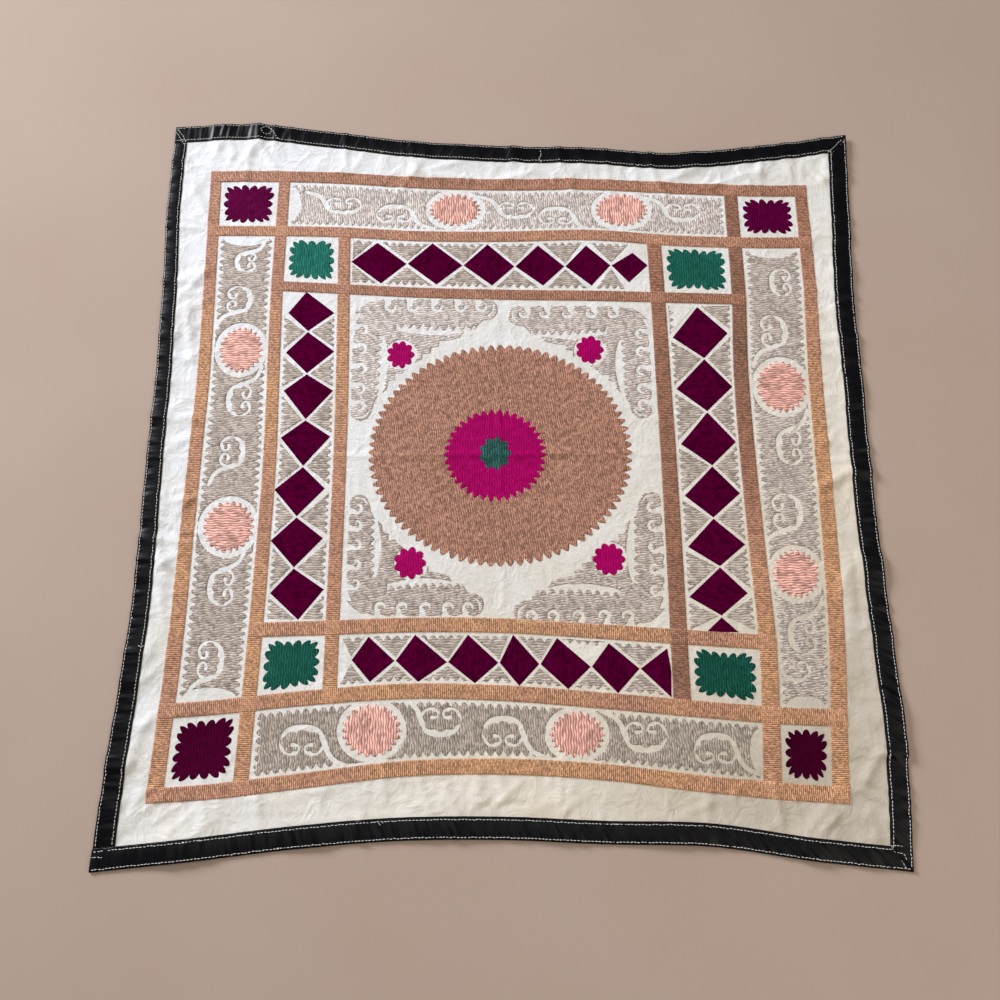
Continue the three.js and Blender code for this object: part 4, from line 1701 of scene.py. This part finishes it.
@dataclass
class BindingStrip:
    """A satin strip folded round one edge, puckered by its topstitching."""

    side: Side
    step: float = 2.4
    section: tuple[tuple[float, float], ...] = (
        (1.0, FACE_TOP - 0.9), (0.985, FACE_TOP - 0.3), (0.92, FACE_TOP - 0.05),
        (0.86, FACE_TOP - 0.4), (0.78, FACE_TOP + 0.1), (0.62, FACE_TOP + 0.4),
        (0.4, FACE_TOP + 0.4), (0.22, FACE_TOP + 0.1), (0.12, FACE_TOP - 0.35),
        (0.06, FACE_TOP - 0.15), (0.0, FACE_TOP - 1.1), (0.0, 1.0), (0.05, 0.0), (0.5, 0.0),
        (1.0, 0.0),
    )

    @property
    def upright(self) -> bool:
        """Whether the strip runs up the cloth."""
        return self.side in (Side.LEFT, Side.RIGHT)

    def edge_line(self) -> LatticeLine:
        """The cloth's edge that the strip follows."""
        return {Side.LEFT: LEFT, Side.RIGHT: RIGHT, Side.BOTTOM: BOTTOM, Side.TOP: TOP}[self.side]

    def inward(self) -> int:
        """The sign of the direction into the cloth."""
        return 1 if self.side in (Side.LEFT, Side.BOTTOM) else -1

    def course(self, share: float) -> Course:
        """The strip's line at a share of its width, from 0 at the edge to 1 at the inner edge."""
        line, wide = self.edge_line(), BINDING_WIDTHS[self.side.value]
        return lambda place: line.at(place) + self.inward() * share * width_between(*wide, place)

    def limits(self, share: float) -> tuple[float, float]:
        """Where the strip's line at that share starts and ends, along the strip.

        Args:
            share: Share of the strip's width, 0 at the edge.

        Returns:
            Both places, along the strip.
        """
        def corner(other: Side, other_share: float) -> float:
            """Place along this strip where it meets a line of another one."""
            mine, theirs = self.course(share), BindingStrip(other).course(other_share)
            x, y = crossing(mine, theirs) if self.upright else crossing(theirs, mine)
            return float((y if self.upright else x)[0])
        if self.side is Side.LEFT:
            return corner(Side.BOTTOM, 1.0) + GAP, corner(Side.TOP, 1.0) - GAP
        if self.side is Side.RIGHT:
            return corner(Side.BOTTOM, share), corner(Side.TOP, share)
        return corner(Side.LEFT, 0.0), corner(Side.RIGHT, share)

    def point(self, way: Array, share: Array) -> tuple[Array, Array]:
        """Points on the strip, by the share along it and the share across it.

        Args:
            way: Shares along the strip.
            share: Shares across it.

        Returns:
            The places to the right, and those to the far edge.
        """
        outer, inner = self.limits(0.0), self.limits(1.0)
        outer_place = outer[0] + (outer[1] - outer[0]) * way
        inner_place = inner[0] + (inner[1] - inner[0]) * way
        place = outer_place + (inner_place - outer_place) * share
        off = (self.course(0.0)(outer_place) * (1 - share)
               + self.course(1.0)(inner_place) * share)
        return (off, place) if self.upright else (place, off)

    def build(self) -> bpy.types.Object:
        """The strip, folded round the edge and open along its inner edge.

        Returns:
            The piece.
        """
        start, end = self.limits(0.5)
        steps = round((end - start) / self.step)
        across = len(self.section) - 1
        bm = bmesh.new()
        bmesh.ops.create_grid(bm, x_segments=steps, y_segments=across, size=1.0)
        grid = vertex_array(bm)
        way = (grid[:, 0] + 1) / 2
        index = np.round((grid[:, 1] + 1) / 2 * across).astype(int)
        section = np.array(self.section)
        share, height = section[index, 0], section[index, 1]
        x, y = self.point(way, share)
        run = way * (end - start)
        seed = sum(map(ord, self.side.value))
        pucker = (np.sin(run / 1.35 + 1.7 * np.sin(run / 9 + seed))
                  + 1.3 * np.sin(run / 3.1 + 2.2 * np.sin(run / 17 + share * 2))
                  * (0.4 + np.sin(run / 41 + seed) ** 2))
        # Soft folds across the strip, which its stitching draws up
        pucker += 2.4 * np.abs(np.sin(run / 8 + 1.3 * np.sin(run / 23 + seed) + share)) - 1.2
        stitched = np.exp(-((share - 0.86) / 0.1) ** 2) + np.exp(-((share - 0.12) / 0.09) ** 2)
        on_face = (height > 2) & (share > 0.03) & (share < 0.97)
        height = height + np.where(on_face, pucker * (0.22 + 0.16 * stitched), 0)
        place_vertices(bm, np.stack([x, y, height + lift(x, y)], 1))
        # Only the strip's face is looked at, because its back lies on the floor
        face_up(bm, [f for f in bm.faces if f.calc_center_median().z > 3])
        return dress(bm, f"satin_{self.side.value}", WovenSatin().material())


@dataclass
class Topstitching:
    """The running stitches in white thread along both edges of each strip."""

    dash: float = 4.4
    gap: float = 0.8
    thick: float = 0.52
    above: float = 0.35
    lines: tuple[float, float] = (0.11, 0.86)
    # Stitches by hand: the mitres, the end of the left strip, a joining seam and loose ends
    hand_lines: tuple[tuple[Point, ...], ...] = (
        ((573, 568), (587, 582), (599, 594)),
        ((577, 564), (590, 578), (602, 590)),
        ((567, -592), (578, -607), (586, -622)),
        ((565, -590), (575, -589), (587, -592)),
        ((573, -599), (583, -601), (588, -610)),
        ((-582, 617), (-573, 605), (-565, 590)),
        ((-585, 611), (-577, 601), (-568, 586)),
        ((-607, -606), (-596, -606), (-581, -606)),
        ((-433, 613), (-428, 619), (-419, 619),
         (-413, 613), (-418, 607), (-427, 607), (-433, 613)),
        ((-415, 617), (-409, 607), (-402, 597)),
        ((64, 574), (65, 566), (62, 558), (65, 552)),
        ((-565, -298), (-560, -300), (-555, -297)),
        ((-186, -558), (-183, -561), (-180, -557)),
    )

    def dash_mesh(self) -> bpy.types.Mesh:
        """One stitch: a stretched ball of thread.

        Returns:
            The mesh, which lies along X.
        """
        bm = bmesh.new()
        bmesh.ops.create_uvsphere(bm, u_segments=6, v_segments=4, radius=1.0,
                                  matrix=Matrix.Rotation(math.pi / 2, 4, "Y"))
        bmesh.ops.scale(bm, vec=(self.dash / 2, self.thick, self.thick), verts=bm.verts[:])
        mesh = bpy.data.meshes.new("dash")
        bm.to_mesh(mesh)
        bm.free()
        return mesh

    def sew(self, bm: bmesh.types.BMesh, dash: bpy.types.Mesh, draw: random.Random,
            path: Array) -> None:
        """Adds a line of stitches on the binding.

        Args:
            bm: The mesh that takes the stitches.
            dash: One stitch.
            draw: Source of small differences between stitches.
            path: Points along the line.
        """
        lengths = np.linalg.norm(np.diff(path, axis=0), axis=1)
        run = np.concatenate([[0], np.cumsum(lengths)])
        spots = np.arange(self.dash / 2, run[-1], self.dash + self.gap)
        x, y = np.interp(spots, run, path[:, 0]), np.interp(spots, run, path[:, 1])
        ahead_x = np.interp(spots + 0.5, run, path[:, 0])
        ahead_y = np.interp(spots + 0.5, run, path[:, 1])
        height = FACE_TOP + self.above + lift(x, y)
        for i in range(len(spots)):
            turn = math.atan2(ahead_y[i] - y[i], ahead_x[i] - x[i])
            spot = Matrix.Translation((x[i] + draw.gauss(0, 0.25), y[i] + draw.gauss(0, 0.25),
                                       height[i]))
            spot @= Matrix.Rotation(turn + draw.gauss(0, 0.14), 4, "Z")
            one = dash.copy()
            one.transform(spot)
            bm.from_mesh(one)
            bpy.data.meshes.remove(one)

    def build(self, strips: Sequence[BindingStrip]) -> bpy.types.Object:
        """All stitches as one piece.

        Args:
            strips: The four strips.

        Returns:
            The piece.
        """
        draw = random.Random(SEED)
        dash = self.dash_mesh()
        bm = bmesh.new()
        for strip in strips:
            for share in self.lines:
                start, end = strip.limits(share)
                count = int((end - start) / (self.dash + self.gap))
                way = (np.arange(count) + 0.5) / count
                self.sew(bm, dash, draw, np.stack(strip.point(way, np.full(count, share)), 1))
        for path in self.hand_lines:
            self.sew(bm, dash, draw, smooth_path(path, 1.0))
        bpy.data.meshes.remove(dash)
        return dress(bm, "topstitching", SewingThread().material())


@dataclass(frozen=True)
class Studio:
    """Camera at the photo's angle, a plain floor and soft light."""

    camera_place: tuple[float, float, float] = (-0.0074, -0.4476, 1.480)
    camera_tilt: float = 14.5
    lens: float = 34.2
    sensor: float = 36
    floor_size: float = 6.0
    glow: float = 0.16

    def build(self) -> None:
        """Makes the camera, the floor, the lights and the world."""
        camera = bpy.data.cameras.new("camera")
        camera.lens = self.lens
        camera.sensor_width = self.sensor
        seen = bpy.data.objects.new("camera", camera)
        seen.location = self.camera_place
        seen.rotation_euler = (math.radians(self.camera_tilt), 0, 0)
        bpy.context.scene.collection.objects.link(seen)
        bpy.context.scene.camera = seen
        bm = bmesh.new()
        bmesh.ops.create_grid(bm, x_segments=2, y_segments=2, size=self.floor_size / 2 / MM)
        floor = dress(bm, "floor", Plaster().material())
        self.light("key", (-4.2, 3.2, 2.3), 1.8, 440, "#f2f5ff")
        self.light("fill", (2.4, -1.6, 2.4), 2.6, 40, "#fff0dc")
        self.light("overhead", (-0.3, 0.3, 3.2), 2.6, 26, "#fffaf4")
        world = bpy.data.worlds.new("world")
        world.use_nodes = True
        ground = world.node_tree.nodes["Background"]
        ground.inputs["Color"].default_value = linear("#ffffff")
        ground.inputs["Strength"].default_value = self.glow
        bpy.context.scene.world = world
        bpy.context.scene.view_settings.view_transform = "Standard"

    def light(self, name: str, place: tuple[float, ...], size: float, power: float,
              colour: str) -> None:
        """Adds a square soft light that faces the cloth's middle.

        Args:
            name: The light's name.
            place: Its place in metres.
            size: Side of its square in metres.
            power: Its power in watts.
            colour: Its colour as sRGB hex.
        """
        data = bpy.data.lights.new(name, "AREA")
        data.size = size
        data.energy = power
        data.color = linear(colour)[:3]
        lamp = bpy.data.objects.new(name, data)
        lamp.location = place
        lamp.rotation_euler = (-Vector(place)).to_track_quat("-Z", "Y").to_euler()
        bpy.context.scene.collection.objects.link(lamp)


def main() -> None:
    """Builds the pieces in order, sets each on the frame and reports it."""
    logging.basicConfig(level=logging.INFO, format="%(message)s")
    Studio().build()
    cloth = GroundCloth().build()[0]
    strips = [BindingStrip(side) for side in Side]
    bindings = [strip.build() for strip in strips]
    stitches = Topstitching().build(strips)
    figures = []
    for part in (Lattice(), CentralDisc(), SmallFlowers(), CornerSquares(), DiamondRows(),
                 Borders(), CornerMotifs()):
        figures.extend(part.build())
    for piece in (cloth, *bindings, stitches, *figures):
        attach(piece, "root")
        faces = sum(len(p.vertices) - 2 for p in piece.data.polygons)
        LOG.info("%s: %d triangles", piece.name, faces)
    for strip, piece in zip(strips, bindings):
        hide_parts(f"binding_{strip.side.value}")
    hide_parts("ground_cloth")


if __name__ == "__main__":
    main()
